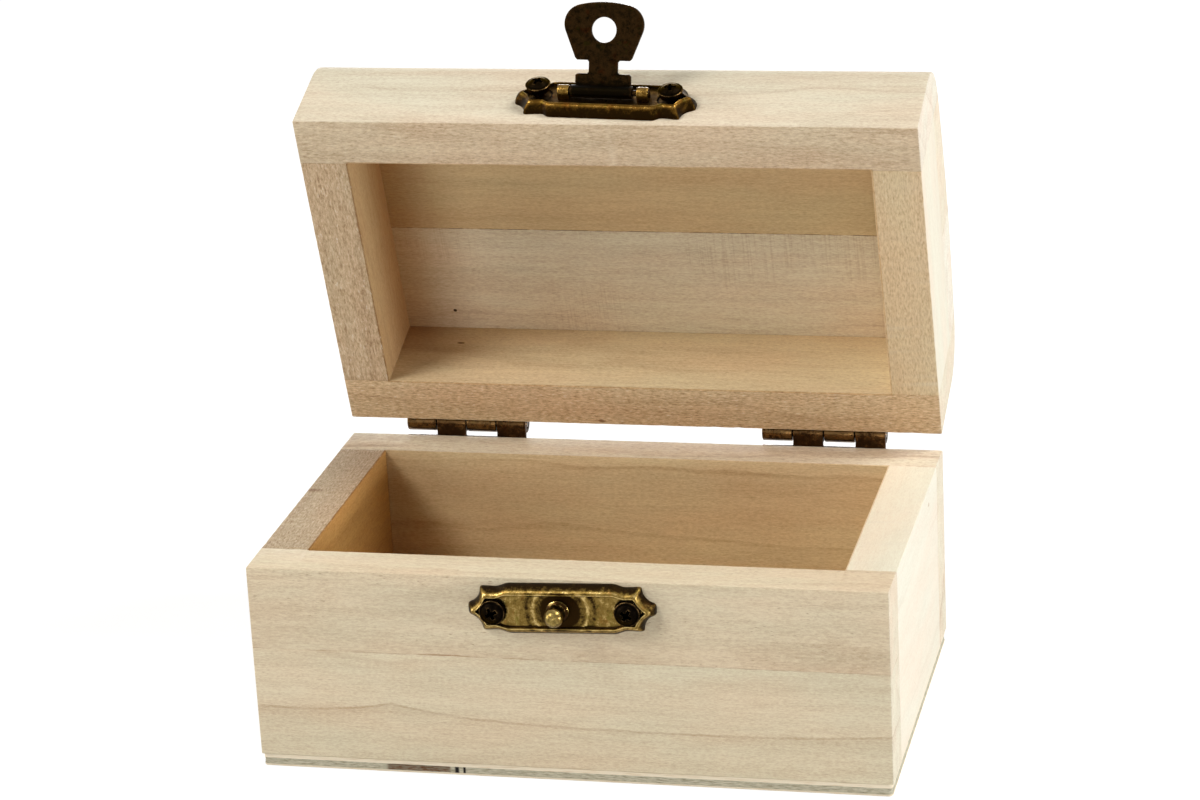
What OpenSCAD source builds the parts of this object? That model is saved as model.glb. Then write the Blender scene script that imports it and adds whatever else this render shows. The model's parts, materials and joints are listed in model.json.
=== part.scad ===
// Small hinged wooden box with a domed lid, two back hinges and a swinging hasp.
// +Z is up, -Y is the front, +X is the right; the origin is the centre of the underside.
// The model stands with its lid open and its hasp flap swung up.

/* [Box] */
// Width of the box, left to right
box_w = 100; // [86:0.5:140]
// Depth of the box, front to back
box_d = 60.4; // [52:0.2:90]
// Height of the base's boards
wall_h = 31.6; // [24:0.1:60]
// Thickness of the front and back boards
front_t = 8.1; // [7.6:0.1:11]
// Thickness of the end boards
end_t = 7.9; // [5:0.1:12]
// Height of the base front's upper strip, from the rim down to its glue line
upper_strip_h = 13.4; // [10:0.2:18]

/* [Bottom panel] */
// Thickness of the plywood bottom
bottom_t = 2; // [1:0.1:4]
// How far the plywood stops short of the boards' outer faces
bottom_inset = 0.2; // [0:0.1:1]
// Corner radius of the plywood
bottom_corner_r = 1.8; // [0.5:0.1:4]

/* [Lid] */
// Height of the lid's upright front and back faces
lid_straight_h = 13; // [11:0.5:20]
// Radius of the lid's rounded shoulders
shoulder_r = 8; // [5:0.5:12]
// Rise of the crown above the shoulders
crown_rise = 1.7; // [0.8:0.1:5]
// Height of the lid's ceiling above its rim
ceiling_h = 14.9; // [10:0.1:16]
// Distance of the ceiling's glue line from the front face
plank_seam_y = 31.5; // [20:0.5:38]
// Gap between the two rims when the lid is shut
rim_gap = 0.15; // [0.1:0.05:0.6]
// Angle at which the lid stands open
lid_open = 71; // [0:1:170]

/* [Hinges] */
// Length of each hinge along its pin
hinge_w = 20.5; // [16:0.5:24]
// Distance from the box's end to the near end of each hinge
hinge_inset = 9.45; // [9:0.05:14]
// Height of each leaf, from the pin to its free edge
hinge_leaf_h = 9; // [8:0.1:11]
// Thickness of the hinge sheet
hinge_sheet_t = 0.7; // [0.4:0.05:0.9]
// Diameter of the hinge pin
hinge_pin_d = 1.6; // [1:0.1:2]
// Number of knuckles along the pin
hinge_knuckles = 4; // [2:2:6]
// Gap between one knuckle and the next
knuckle_gap = 0.2; // [0.15:0.05:0.4]
// Height of the pin above the base's rim
hinge_pin_up = 1.8; // [1.6:0.1:2.4]
// Gap between the rolled knuckles and the boards' back faces
barrel_gap = 0.1; // [0.1:0.05:0.4]
// Gap between the rolled knuckles and the edge of the leaf beside them
leaf_gap = 0.4; // [0.3:0.05:0.6]
// Distance between the two screws of a leaf
hinge_screw_gap = 12.4; // [9:0.2:14]
// Distance of the screws from the pin
hinge_screw_drop = 5.6; // [4.8:0.1:6.4]

/* [Hasp and keeper plates] */
// Length of each plate from tip to tip
plate_l = 29.3; // [28.4:0.1:34]
// Height of each plate's middle part
plate_w = 8.1; // [7.4:0.1:9]
// How far each plate stands off the wood
plate_h = 2; // [1.6:0.1:2.2]
// How far the sloping edge leans in by its top
plate_draft = 1.2; // [0.8:0.1:1.3]
// Width of the raised lip along the top of the edge
lip_w = 0.45; // [0.3:0.05:0.6]
// Depth of the sunk face below the lip
sunk_depth = 0.8; // [0.4:0.1:0.9]
// Thickness of the stamped sheet
plate_sheet_t = 0.5; // [0.4:0.05:0.7]
// Length of the straight middle part
plate_body_l = 17.4; // [16:0.1:18]
// Length over the two ears, from outer corner to outer corner
ear_l = 25.2; // [24:0.1:26]
// Height of the ears
ear_w = 7.2; // [6.6:0.1:7.4]
// Radius of the hollow curve between ear and tip
scoop_r = 2.4; // [2.2:0.1:3]
// Width of the blunt tip
tip_w = 1.8; // [1:0.1:2.4]
// Radius of the notch between the middle part and an ear
notch_r = 0.55; // [0.3:0.05:0.7]
// Distance between a plate's two screws
plate_screw_gap = 21; // [20:0.1:22]
// Turn of the keeper plate on the base, anticlockwise from the front
keeper_turn = 1.7; // [0:0.1:3]
// Radius of the keeper plate's inner raised ring
inner_ring_r = 3.1; // [2.9:0.1:3.4]
// Radius of the keeper plate's outer raised ring
outer_ring_r = 4.3; // [4.1:0.1:5.6]
// Height of the raised rings
ring_h = 0.2; // [0.15:0.05:0.4]

/* [Hasp] */
// Height of the hasp's pin above the lid's rim
hasp_up = 5.3; // [5.1:0.1:6.5]
// Turn of the hasp on the lid, clockwise from the front
hasp_turn = 2.5; // [0:0.5:3]
// How far the middle of the hasp's plate lies above its pin
hasp_plate_up = 0.35; // [0:0.05:0.5]
// Diameter of the hasp's pin
hasp_pin_d = 0.9; // [0.7:0.05:1]
// Distance of the hasp's pin from the wood
hasp_pin_out = 2.55; // [2.4:0.05:2.9]
// Thickness of the flap's sheet
flap_t = 0.5; // [0.4:0.05:0.6]
// Length of the flap's rolled foot
flap_barrel_l = 9.9; // [9.2:0.1:10.4]
// Gap between the rolled foot and the lug at each end
lug_gap = 0.4; // [0.2:0.05:0.5]
// Length of each lug that holds the pin
lug_l = 2; // [1.6:0.1:2.4]
// Distance from the pin to the middle of the flap's hole
flap_reach = 9.65; // [9.4:0.05:10.6]
// Diameter of the flap's hole
flap_hole_d = 4; // [3.9:0.1:4.6]
// Distance from the pin to the flap's free end
flap_l = 14; // [13.6:0.1:15.5]
// Width of the flap's head
flap_head_w = 12.9; // [11:0.1:13]
// Width of the head where it meets the neck
flap_throat_w = 9.2; // [8:0.1:9.4]
// Width of the flap's foot
flap_foot_w = 9; // [8:0.1:9.1]
// Width of the flap's neck
flap_neck_w = 4.7; // [3.5:0.1:5.5]
// Distance from the pin to the near end of the neck
flap_foot_end = 2.8; // [2.4:0.1:3.6]
// Distance from the pin to the far end of the neck
flap_neck_end = 4.9; // [4.6:0.1:5.6]
// Radius of the head's round corners
flap_corner_r = 3.1; // [2.4:0.1:3.3]
// How far the head's corner arcs are centred beyond the middle of the hole
flap_corner_out = 0.85; // [0.6:0.05:1.1]
// Angle at which the flap stands, counted from hanging flat
flap_open = 122; // [0:1:165]

/* [Knob] */
// Diameter of the knob's ball
knob_d = 2.85; // [2.4:0.05:3]
// Distance of the ball's middle from the wood
knob_out = 4; // [3.8:0.1:4.6]
// Diameter of the knob's stem under the ball
knob_neck_d = 1.5; // [1.2:0.1:1.9]
// Diameter of the knob's stem at the plate
knob_root_d = 2.4; // [2:0.1:2.8]
// How far the knob sits below the middle of the flap's hole
knob_low = 0.4; // [0:0.05:0.45]
// Height of the riveted tail behind the plate
knob_tail_h = 0.35; // [0.2:0.05:0.6]

/* [Screws] */
// Diameter of a plate screw's head
plate_head_d = 4; // [3.8:0.1:4.6]
// Height of a plate screw's head
plate_head_h = 1.9; // [1.2:0.1:2]
// Length of a plate screw under its head
plate_screw_l = 7.2; // [5:0.1:7.6]
// Diameter of a hinge screw's head
hinge_head_d = 3.4; // [2.8:0.1:3.8]
// Height of a hinge screw's head
hinge_head_h = 0.75; // [0.5:0.05:0.8]
// Length of a hinge screw under its head
hinge_screw_l = 6; // [4:0.1:7]
// Diameter of every screw's shank
shank_d = 1.8; // [1.4:0.1:2]
// Width of the cross slot in every screw's head
cross_w = 0.55; // [0.4:0.05:0.7]

/* [Fits] */
// Radial clearance of a pin in its knuckles and lugs
pin_fit = 0.04; // [0.02:0.01:0.08]
// Radial clearance of a screw in its hole
hole_fit = 0.05; // [0.03:0.01:0.1]

/* [Hidden] */
$fn = 96;

// Small overlap that lets one cut run clear of the face it opens
cut = 1;

// Levels and faces
rim_z = bottom_t + wall_h;
lid_rim_z = rim_z + rim_gap;
front_y = -box_d / 2;
back_y = box_d / 2;
inner_w = box_w - 2 * end_t;
inner_d = box_d - 2 * front_t;
lid_h = lid_straight_h + shoulder_r + crown_rise;

// Hinge: the knuckles are rolled round the pin behind the back faces
barrel_r = hinge_pin_d / 2 + pin_fit + hinge_sheet_t;
hinge_y = back_y + barrel_gap + barrel_r;
hinge_z = rim_z + hinge_pin_up;
knuckle_pitch = (hinge_w + knuckle_gap) / hinge_knuckles;
knuckle_l = knuckle_pitch - knuckle_gap;
hinge_x = box_w / 2 - hinge_inset - hinge_w / 2;
leaf_edge = barrel_r + leaf_gap;

// Plates: the sloping edge, and the level of the sunk face
plate_slope = plate_draft / plate_h;
sunk_h = plate_h - sunk_depth;
ear_x = ear_l / 2;
notch_x = plate_body_l / 2 + notch_r;

// Hasp: pin, lugs and the flap's rolled foot
hasp_bore_r = hasp_pin_d / 2 + pin_fit;
flap_roll_r = hasp_bore_r + flap_t;
lug_r = hasp_bore_r + plate_sheet_t;
lug_x = flap_barrel_l / 2 + lug_gap;

// The knob stands where the flap's hole comes to rest on the shut box, and the keeper plate
// is level with it, in the middle of the front
knob_x = -flap_reach * sin(hasp_turn);
keeper_z = lid_rim_z + hasp_up - flap_reach * cos(hasp_turn) - knob_low;

// Radius of a top arc that is tangent to two corner arcs of radius r, set half_gap to each side
// of the middle, where the top stands rise above the corner centres
function top_arc_r(half_gap, rise, r) =
    (half_gap * half_gap + rise * rise - r * r) / (2 * (rise - r));

// ---- frames that carry the pieces ----

// Turns what belongs to the lid about the hinge pins
module lid_pose() {
    translate([0, hinge_y, hinge_z])
        rotate([-lid_open, 0, 0])
            translate([0, -hinge_y, -hinge_z])
                children();
}

// Local frame of a front plate: X along it, Y up, Z away from the wood
module keeper_frame() {
    translate([0, front_y, keeper_z])
        rotate([90, 0, 0])
            rotate([0, 0, keeper_turn])
                children();
}

module hasp_frame() {
    lid_pose()
        translate([0, front_y, lid_rim_z + hasp_up])
            rotate([90, 0, 0])
                rotate([0, 0, -hasp_turn])
                    children();
}

// The hasp's plate and its screws lie a little above the pin
module hasp_plate_frame() {
    hasp_frame()
        translate([0, hasp_plate_up, 0])
            children();
}

// Local frame of one hinge: X along the pin, the pin on the X axis, Y away from the wood
module hinge_frame(side) {
    translate([side * hinge_x, hinge_y, hinge_z])
        children();
}

// ---- wood ----

// A block given by its lowest corner and its size
module block(corner, size) {
    translate(corner)
        cube(size);
}

// Two screw holes through a board, drilled from a front plate's frame
module plate_screw_holes() {
    for (side = [-1, 1])
        translate([side * plate_screw_gap / 2, 0, -plate_screw_l])
            cylinder(r = shank_d / 2 + hole_fit, h = plate_screw_l + cut);
}

// The holes of both hinges in a back board; toward is -1 for the base and 1 for the lid
module hinge_screw_holes(toward) {
    for (side = [-1, 1])
        hinge_frame(side)
            hinge_screw_places(toward)
                translate([0, 0, -hinge_screw_l])
                    cylinder(r = shank_d / 2 + hole_fit, h = hinge_screw_l + cut);
}

module base_front_upper_strip() {
    color("burlywood")
        difference() {
            block([-box_w / 2, front_y, rim_z - upper_strip_h], [box_w, front_t, upper_strip_h]);
            keeper_frame() plate_screw_holes();
        }
}

module base_front_lower_strip() {
    color("wheat")
        block([-box_w / 2, front_y, bottom_t], [box_w, front_t, wall_h - upper_strip_h]);
}

module base_back_board() {
    color("wheat")
        difference() {
            block([-box_w / 2, back_y - front_t, bottom_t], [box_w, front_t, wall_h]);
            hinge_screw_holes(-1);
        }
}

module base_end(side) {
    color("wheat")
        translate([side * (box_w - end_t) / 2, 0, bottom_t])
            block([-end_t / 2, -inner_d / 2, 0], [end_t, inner_d, wall_h]);
}

module bottom_panel() {
    half_w = box_w / 2 - bottom_inset - bottom_corner_r;
    half_d = box_d / 2 - bottom_inset - bottom_corner_r;
    color("tan")
        linear_extrude(bottom_t)
            union() {
                square([2 * half_w, 2 * (half_d + bottom_corner_r)], center = true);
                square([2 * (half_w + bottom_corner_r), 2 * half_d], center = true);
                for (x = [-half_w, half_w])
                    for (y = [-half_d, half_d])
                        translate([x, y])
                            circle(r = bottom_corner_r);
            }
}

// Points along an arc, from one angle to another
function arc_points(centre, r, from, to, steps) =
    [for (i = [0:steps])
        let (angle = from + (to - from) * i / steps)
        centre + r * [cos(angle), sin(angle)]];

// The lid's end view: X is the depth from the front face, Y the height above the rim
module lid_profile() {
    half_gap = box_d / 2 - shoulder_r;
    crown_r = top_arc_r(half_gap, lid_h - lid_straight_h, shoulder_r);
    crown_centre = [box_d / 2, lid_h - crown_r];
    // Angle at which a shoulder arc runs into the crown arc
    meet = atan2(lid_straight_h - crown_centre[1], half_gap);
    shoulder_steps = 20;
    crown_steps = 24;
    polygon(concat(
        [[0, 0], [box_d, 0]],
        arc_points([box_d - shoulder_r, lid_straight_h], shoulder_r, 0, meet, shoulder_steps),
        arc_points(crown_centre, crown_r, meet, 180 - meet, crown_steps),
        arc_points([shoulder_r, lid_straight_h], shoulder_r, 180 - meet, 180, shoulder_steps)
    ));
}

// The part of the lid between two depths and above a height, over the whole width
module lid_slice(from_y, to_y, from_z) {
    translate([-box_w / 2, front_y, lid_rim_z])
        rotate([90, 0, 90])
            linear_extrude(box_w)
                intersection() {
                    lid_profile();
                    translate([from_y, from_z])
                        square([to_y - from_y, lid_h]);
                }
}

module lid_front_board() {
    color("wheat")
        difference() {
            lid_pose() lid_slice(0, front_t, 0);
            hasp_plate_frame() plate_screw_holes();
        }
}

module lid_back_board() {
    color("wheat")
        lid_pose()
            difference() {
                lid_slice(box_d - front_t, box_d, 0);
                hinge_screw_holes(1);
            }
}

module lid_end(side) {
    color("wheat")
        lid_pose()
            translate([side * (box_w - end_t) / 2, 0, lid_rim_z])
                block([-end_t / 2, -inner_d / 2, 0], [end_t, inner_d, ceiling_h]);
}

module lid_top_front_plank() {
    color("burlywood")
        lid_pose() lid_slice(front_t, plank_seam_y, ceiling_h);
}

module lid_top_back_plank() {
    color("wheat")
        lid_pose() lid_slice(plank_seam_y, box_d - front_t, ceiling_h);
}

// ---- screws ----

// A round-headed cross-slot screw: the head sits on the XY plane, the shank points down
module screw(head_d, head_h, length) {
    edge_h = head_h * 0.35;
    dome_h = head_h - edge_h;
    dome_r = (head_d * head_d / 4 + dome_h * dome_h) / (2 * dome_h);
    slot_l = head_d * 0.6;
    slot_h = head_h * 0.55;
    point_l = shank_d;
    difference() {
        union() {
            cylinder(d = head_d, h = edge_h);
            intersection() {
                translate([0, 0, head_h - dome_r])
                    sphere(r = dome_r);
                cylinder(d = head_d, h = head_h);
            }
        }
        for (turn = [0, 90])
            rotate([0, 0, turn])
                translate([0, 0, head_h - slot_h / 2 + cut / 2])
                    cube([slot_l, cross_w, slot_h + cut], center = true);
    }
    translate([0, 0, point_l - length])
        cylinder(d = shank_d, h = length - point_l);
    translate([0, 0, -length])
        cylinder(d1 = shank_d * 0.2, d2 = shank_d, h = point_l);
}

// ---- hinges ----

// Puts children at a leaf's two screws, Z away from the wood
module hinge_screw_places(toward) {
    for (x = [-hinge_screw_gap / 2, hinge_screw_gap / 2])
        translate([x, back_y - hinge_y, toward * hinge_screw_drop])
            rotate([-90, 0, 0])
                children();
}

// One leaf with its rolled knuckles; toward is -1 for the base and 1 for the lid, and the
// lid's leaf has the first, third and every other knuckle
module hinge_leaf(toward) {
    first = toward > 0 ? 0 : 1;
    wood_y = back_y - hinge_y;
    low_z = toward > 0 ? leaf_edge : -hinge_leaf_h;
    root_h = leaf_edge + hinge_sheet_t;
    difference() {
        union() {
            block([-hinge_w / 2, wood_y, low_z], [hinge_w, hinge_sheet_t, hinge_leaf_h - leaf_edge]);
            for (i = [first : 2 : hinge_knuckles - 1])
                translate([-hinge_w / 2 + i * knuckle_pitch, 0, 0]) {
                    rotate([0, 90, 0])
                        cylinder(r = barrel_r, h = knuckle_l);
                    block([0, -barrel_r, toward > 0 ? 0 : -root_h], [knuckle_l, hinge_sheet_t, root_h]);
                }
        }
        translate([-hinge_w / 2 - cut, 0, 0])
            rotate([0, 90, 0])
                cylinder(r = hinge_pin_d / 2 + pin_fit, h = hinge_w + 2 * cut);
        hinge_screw_places(toward)
            translate([0, 0, -cut])
                cylinder(r = shank_d / 2 + hole_fit, h = hinge_sheet_t + 2 * cut);
    }
}

module hinge_pin() {
    translate([-hinge_w / 2, 0, 0])
        rotate([0, 90, 0])
            cylinder(d = hinge_pin_d, h = hinge_w);
}

module hinge_screws(toward) {
    hinge_screw_places(toward)
        translate([0, 0, hinge_sheet_t])
            screw(hinge_head_d, hinge_head_h, hinge_screw_l);
}

module base_leaf(side) {
    color("saddlebrown")
        hinge_frame(side) hinge_leaf(-1);
}

module lid_leaf(side) {
    color("sienna")
        lid_pose() hinge_frame(side) hinge_leaf(1);
}

module pin(side) {
    color("dimgray")
        hinge_frame(side) hinge_pin();
}

module base_leaf_screws(side) {
    color("black")
        hinge_frame(side) hinge_screws(-1);
}

module lid_leaf_screws(side) {
    color("black")
        lid_pose() hinge_frame(side) hinge_screws(1);
}

// ---- stamped front plates ----

// A rectangle whose four sides lean in by the plate's slope
module leaning_block(length, width, height) {
    lean = plate_slope * height;
    intersection() {
        rotate([90, 0, 0])
            translate([0, 0, -width / 2])
                linear_extrude(width)
                    polygon([[-length / 2, 0], [length / 2, 0],
                             [length / 2 - lean, height], [-length / 2 + lean, height]]);
        rotate([90, 0, 90])
            translate([0, 0, -length / 2])
                linear_extrude(length)
                    polygon([[-width / 2, 0], [width / 2, 0],
                             [width / 2 - lean, height], [-width / 2 + lean, height]]);
    }
}

// The eight round cuts that shape a plate's ears, notches and tips, grown by inset; they
// lean out with the slope where lean is more than zero
module plate_cuts(inset, height, lean) {
    scoop_x = ear_x + scoop_r;
    scoop_y = tip_w / 2 + sqrt(scoop_r * scoop_r - pow(scoop_x - plate_l / 2, 2));
    for (sx = [-1, 1])
        for (sy = [-1, 1]) {
            translate([sx * scoop_x, sy * scoop_y, 0])
                cylinder(r1 = scoop_r + inset, r2 = scoop_r + inset + lean, h = height);
            translate([sx * notch_x, sy * plate_w / 2, 0])
                cylinder(r1 = notch_r + inset, r2 = notch_r + inset + lean, h = height);
        }
}

// The plate's outer form, shrunk all round by inset
module plate_form(inset, height) {
    difference() {
        union() {
            leaning_block(plate_body_l + 2 * notch_r - 2 * inset, plate_w - 2 * inset, height);
            leaning_block(plate_l - 2 * inset, ear_w - 2 * inset, height);
        }
        plate_cuts(inset, height, plate_slope * height);
    }
}

// The sunk face inside the lip, with upright sides
module sunk_form(inset) {
    difference() {
        translate([0, 0, sunk_h]) {
            block([-plate_body_l / 2 - notch_r + inset, -plate_w / 2 + inset, 0],
                  [plate_body_l + 2 * notch_r - 2 * inset, plate_w - 2 * inset, plate_h]);
            block([-plate_l / 2 + inset, -ear_w / 2 + inset, 0],
                  [plate_l - 2 * inset, ear_w - 2 * inset, plate_h]);
        }
        translate([0, 0, sunk_h - cut])
            plate_cuts(inset, plate_h + 2 * cut, 0);
    }
}

// A stamped plate: sloping edge, raised lip, sunk face, hollow behind, two screw holes, and
// a round seat in the lip for each screw's head
module stamped_plate() {
    difference() {
        plate_form(0, plate_h);
        sunk_form(plate_draft + lip_w);
        plate_form(plate_sheet_t, sunk_h - plate_sheet_t);
        for (side = [-1, 1])
            translate([side * plate_screw_gap / 2, 0, 0]) {
                translate([0, 0, -cut])
                    cylinder(r = shank_d / 2 + hole_fit, h = plate_h + 2 * cut);
                translate([0, 0, sunk_h])
                    cylinder(r = plate_head_d / 2 + hole_fit, h = plate_h);
            }
    }
}

// A raised ring of half-round section, as stamped round the knob
module stamped_ring(ring_r) {
    translate([0, 0, sunk_h])
        rotate_extrude()
            translate([ring_r, 0])
                intersection() {
                    circle(r = ring_h);
                    translate([-ring_h, -ring_h / 2])
                        square([2 * ring_h, 2 * ring_h]);
                }
}

module keeper_plate() {
    channel_w = plate_w - 2 * plate_draft;
    color("goldenrod")
        keeper_frame()
            difference() {
                union() {
                    stamped_plate();
                    intersection() {
                        union() {
                            stamped_ring(inner_ring_r);
                            stamped_ring(outer_ring_r);
                        }
                        block([-plate_body_l / 2, -channel_w / 2, 0], [plate_body_l, channel_w, plate_h]);
                    }
                }
                translate([knob_x, 0, -cut])
                    cylinder(r = knob_neck_d / 2 + hole_fit, h = plate_h + 2 * cut);
            }
}

// The ball, its tapered stem, and the riveted tail behind the plate
module keeper_knob() {
    tail_z = sunk_h - plate_sheet_t;
    color("gold")
        keeper_frame()
            translate([knob_x, 0, 0])
                rotate_extrude()
                    intersection() {
                        union() {
                            translate([0, knob_out])
                                circle(d = knob_d);
                            polygon([[0, tail_z - knob_tail_h], [knob_root_d / 2, tail_z - knob_tail_h],
                                     [knob_root_d / 2, tail_z], [knob_neck_d / 2, tail_z],
                                     [knob_neck_d / 2, sunk_h], [knob_root_d / 2, sunk_h],
                                     [knob_neck_d / 2, knob_out], [0, knob_out]]);
                        }
                        square([knob_out, 2 * knob_out]);
                    }
}

module keeper_screws() {
    color("black")
        keeper_frame() plate_screws();
}

module plate_screws() {
    for (side = [-1, 1])
        translate([side * plate_screw_gap / 2, 0, sunk_h])
            screw(plate_head_d, plate_head_h, plate_screw_l);
}

// ---- hasp ----

// One pierced lug that stands on the sunk face and holds an end of the pin
module lug(side) {
    low_x = side > 0 ? lug_x : -lug_x - lug_l;
    translate([low_x, 0, hasp_pin_out])
        rotate([0, 90, 0])
            cylinder(r = lug_r, h = lug_l);
    block([low_x, -lug_r, sunk_h - plate_sheet_t / 2],
          [lug_l, 2 * lug_r, hasp_pin_out - sunk_h + plate_sheet_t / 2]);
}

module hasp_plate() {
    color("goldenrod")
        hasp_frame()
            difference() {
                union() {
                    translate([0, hasp_plate_up, 0])
                        stamped_plate();
                    lug(-1);
                    lug(1);
                }
                translate([-lug_x - lug_l - cut, 0, hasp_pin_out])
                    rotate([0, 90, 0])
                        cylinder(r = hasp_bore_r, h = 2 * (lug_x + lug_l + cut));
            }
}

module hasp_pin() {
    color("dimgray")
        hasp_frame()
            translate([-lug_x - lug_l, 0, hasp_pin_out])
                rotate([0, 90, 0])
                    cylinder(d = hasp_pin_d, h = 2 * (lug_x + lug_l));
}

module hasp_screws() {
    color("black")
        hasp_plate_frame() plate_screws();
}

// Half of the head's straight side: the point where the side meets the corner arc
function side_tangent(corner, throat, r) =
    let (dx = corner[0] - throat[0],
         dy = corner[1] - throat[1],
         gap = sqrt(dx * dx + dy * dy),
         turn = atan2(dy, dx) - asin(r / gap),
         reach = sqrt(gap * gap - r * r))
    [throat[0] + reach * cos(turn), throat[1] + reach * sin(turn)];

// The flap laid flat: the pin lies on the X axis and Y is the distance from it
module flap_outline() {
    corner_x = flap_head_w / 2 - flap_corner_r;
    corner_y = flap_reach + flap_corner_out;
    top_r = top_arc_r(corner_x, flap_l - corner_y, flap_corner_r);
    side = side_tangent([corner_x, corner_y], [flap_throat_w / 2, flap_neck_end], flap_corner_r);
    top_x = corner_x + flap_corner_r * corner_x / (top_r - flap_corner_r);
    difference() {
        union() {
            translate([-flap_foot_w / 2, 0])
                square([flap_foot_w, flap_foot_end]);
            translate([-flap_neck_w / 2, 0])
                square([flap_neck_w, flap_neck_end + cut]);
            polygon([[-flap_throat_w / 2, flap_neck_end], [flap_throat_w / 2, flap_neck_end],
                     [side[0], side[1]], [corner_x, corner_y],
                     [-corner_x, corner_y], [-side[0], side[1]]]);
            for (x = [-corner_x, corner_x])
                translate([x, corner_y])
                    circle(r = flap_corner_r);
            intersection() {
                translate([-top_x, corner_y])
                    square([2 * top_x, flap_l]);
                translate([0, flap_l - top_r])
                    circle(r = top_r, $fn = 2 * $fn);
            }
        }
        translate([0, flap_reach])
            circle(d = flap_hole_d);
    }
}

// The flap hangs from its rolled foot, its sheet on the side away from the wood
module hasp_flap() {
    color("chocolate")
        hasp_frame()
            translate([0, 0, hasp_pin_out])
                rotate([-flap_open, 0, 0])
                    difference() {
                        union() {
                            translate([-flap_barrel_l / 2, 0, 0])
                                rotate([0, 90, 0])
                                    cylinder(r = flap_roll_r, h = flap_barrel_l);
                            translate([0, 0, hasp_bore_r])
                                linear_extrude(flap_t)
                                    mirror([0, 1])
                                        flap_outline();
                        }
                        translate([-flap_barrel_l / 2 - cut, 0, 0])
                            rotate([0, 90, 0])
                                cylinder(r = hasp_bore_r, h = flap_barrel_l + 2 * cut);
                    }
}

base_front_upper_strip();
base_front_lower_strip();
base_back_board();
base_end(-1);  // base_left_end
base_end(1);  // base_right_end
bottom_panel();
lid_front_board();
lid_back_board();
lid_end(-1);  // lid_left_end
lid_end(1);  // lid_right_end
lid_top_front_plank();
lid_top_back_plank();
base_leaf(-1);  // left_hinge_base_leaf
lid_leaf(-1);  // left_hinge_lid_leaf
pin(-1);  // left_hinge_pin
base_leaf_screws(-1);  // left_hinge_base_screws
lid_leaf_screws(-1);  // left_hinge_lid_screws
base_leaf(1);  // right_hinge_base_leaf
lid_leaf(1);  // right_hinge_lid_leaf
pin(1);  // right_hinge_pin
base_leaf_screws(1);  // right_hinge_base_screws
lid_leaf_screws(1);  // right_hinge_lid_screws
keeper_plate();
keeper_knob();
keeper_screws();
hasp_plate();
hasp_pin();
hasp_screws();
hasp_flap();
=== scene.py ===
# %% [markdown]
# # A small wooden chest with antiqued fittings
# This notebook makes the looks of a pale wooden box: a base of glued boards on a thin plywood
# bottom, a domed lid on two rolled hinges, and a hasp whose pierced flap drops over a knob.
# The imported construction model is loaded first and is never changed. It gives the sizes, the
# places and the two joints, so that every new piece is made where the box already has one.

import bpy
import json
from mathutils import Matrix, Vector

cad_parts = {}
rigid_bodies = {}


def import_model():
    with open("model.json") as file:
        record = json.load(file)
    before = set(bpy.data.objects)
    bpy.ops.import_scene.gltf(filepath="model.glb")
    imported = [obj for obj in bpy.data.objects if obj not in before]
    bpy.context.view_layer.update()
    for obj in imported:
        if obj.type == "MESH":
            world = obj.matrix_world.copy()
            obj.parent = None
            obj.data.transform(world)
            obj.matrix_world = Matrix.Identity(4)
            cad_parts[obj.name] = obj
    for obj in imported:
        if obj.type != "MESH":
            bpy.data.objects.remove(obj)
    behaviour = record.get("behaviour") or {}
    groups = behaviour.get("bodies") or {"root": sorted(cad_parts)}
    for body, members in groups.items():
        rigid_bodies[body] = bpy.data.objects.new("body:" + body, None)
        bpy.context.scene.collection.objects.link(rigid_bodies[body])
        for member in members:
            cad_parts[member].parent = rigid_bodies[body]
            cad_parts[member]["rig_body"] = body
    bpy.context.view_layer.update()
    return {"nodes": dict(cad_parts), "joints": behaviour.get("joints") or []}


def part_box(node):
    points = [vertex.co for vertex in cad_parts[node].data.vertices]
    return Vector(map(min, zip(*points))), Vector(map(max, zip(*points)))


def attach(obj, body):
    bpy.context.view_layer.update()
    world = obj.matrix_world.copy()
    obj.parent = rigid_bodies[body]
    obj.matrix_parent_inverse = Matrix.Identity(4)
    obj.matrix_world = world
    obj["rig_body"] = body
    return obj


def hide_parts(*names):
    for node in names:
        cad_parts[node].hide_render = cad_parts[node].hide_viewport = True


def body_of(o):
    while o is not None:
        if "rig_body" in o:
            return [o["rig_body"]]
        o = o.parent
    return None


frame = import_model()
print("solids in the frame:", len(frame["nodes"]))

# %% Units and libraries
import json
import math

import bmesh
import bpy
import numpy as np
from mathutils import Matrix, Vector, noise

MM = 0.001
print("one millimetre is", MM, "of the scene's units")

# %% [markdown]
# The camera comes first, because all that follows is judged through it. A long lens from about
# 60 cm away keeps the box's lines nearly parallel. The camera stands to the right of the box,
# looks down on it, and is held a little askew, so the vertical edges lean.

# %% Place the camera
VIEW_SPOT = Vector((128.97, -533.87, 246.87)) * MM
VIEW_TURN = math.radians(13.551)
VIEW_DROP = math.radians(19.571)
VIEW_ROLL = math.radians(-3.026)
LENS, SENSOR_WIDTH = 111.456, 36

camera_data = bpy.data.cameras.new("camera")
camera_data.lens = LENS
camera_data.sensor_width = SENSOR_WIDTH
camera = bpy.data.objects.new("camera", camera_data)
camera.matrix_world = (
    Matrix.Translation(VIEW_SPOT)
    @ Matrix.Rotation(VIEW_TURN, 4, "Z")
    @ Matrix.Rotation(math.pi / 2 - VIEW_DROP, 4, "X")
    @ Matrix.Rotation(VIEW_ROLL, 4, "Z")
)
bpy.context.scene.collection.objects.link(camera)
bpy.context.scene.camera = camera
bpy.context.scene.view_settings.view_transform = "Standard"
print("the camera stands", round(VIEW_SPOT.length / MM), "mm from the box")

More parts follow.
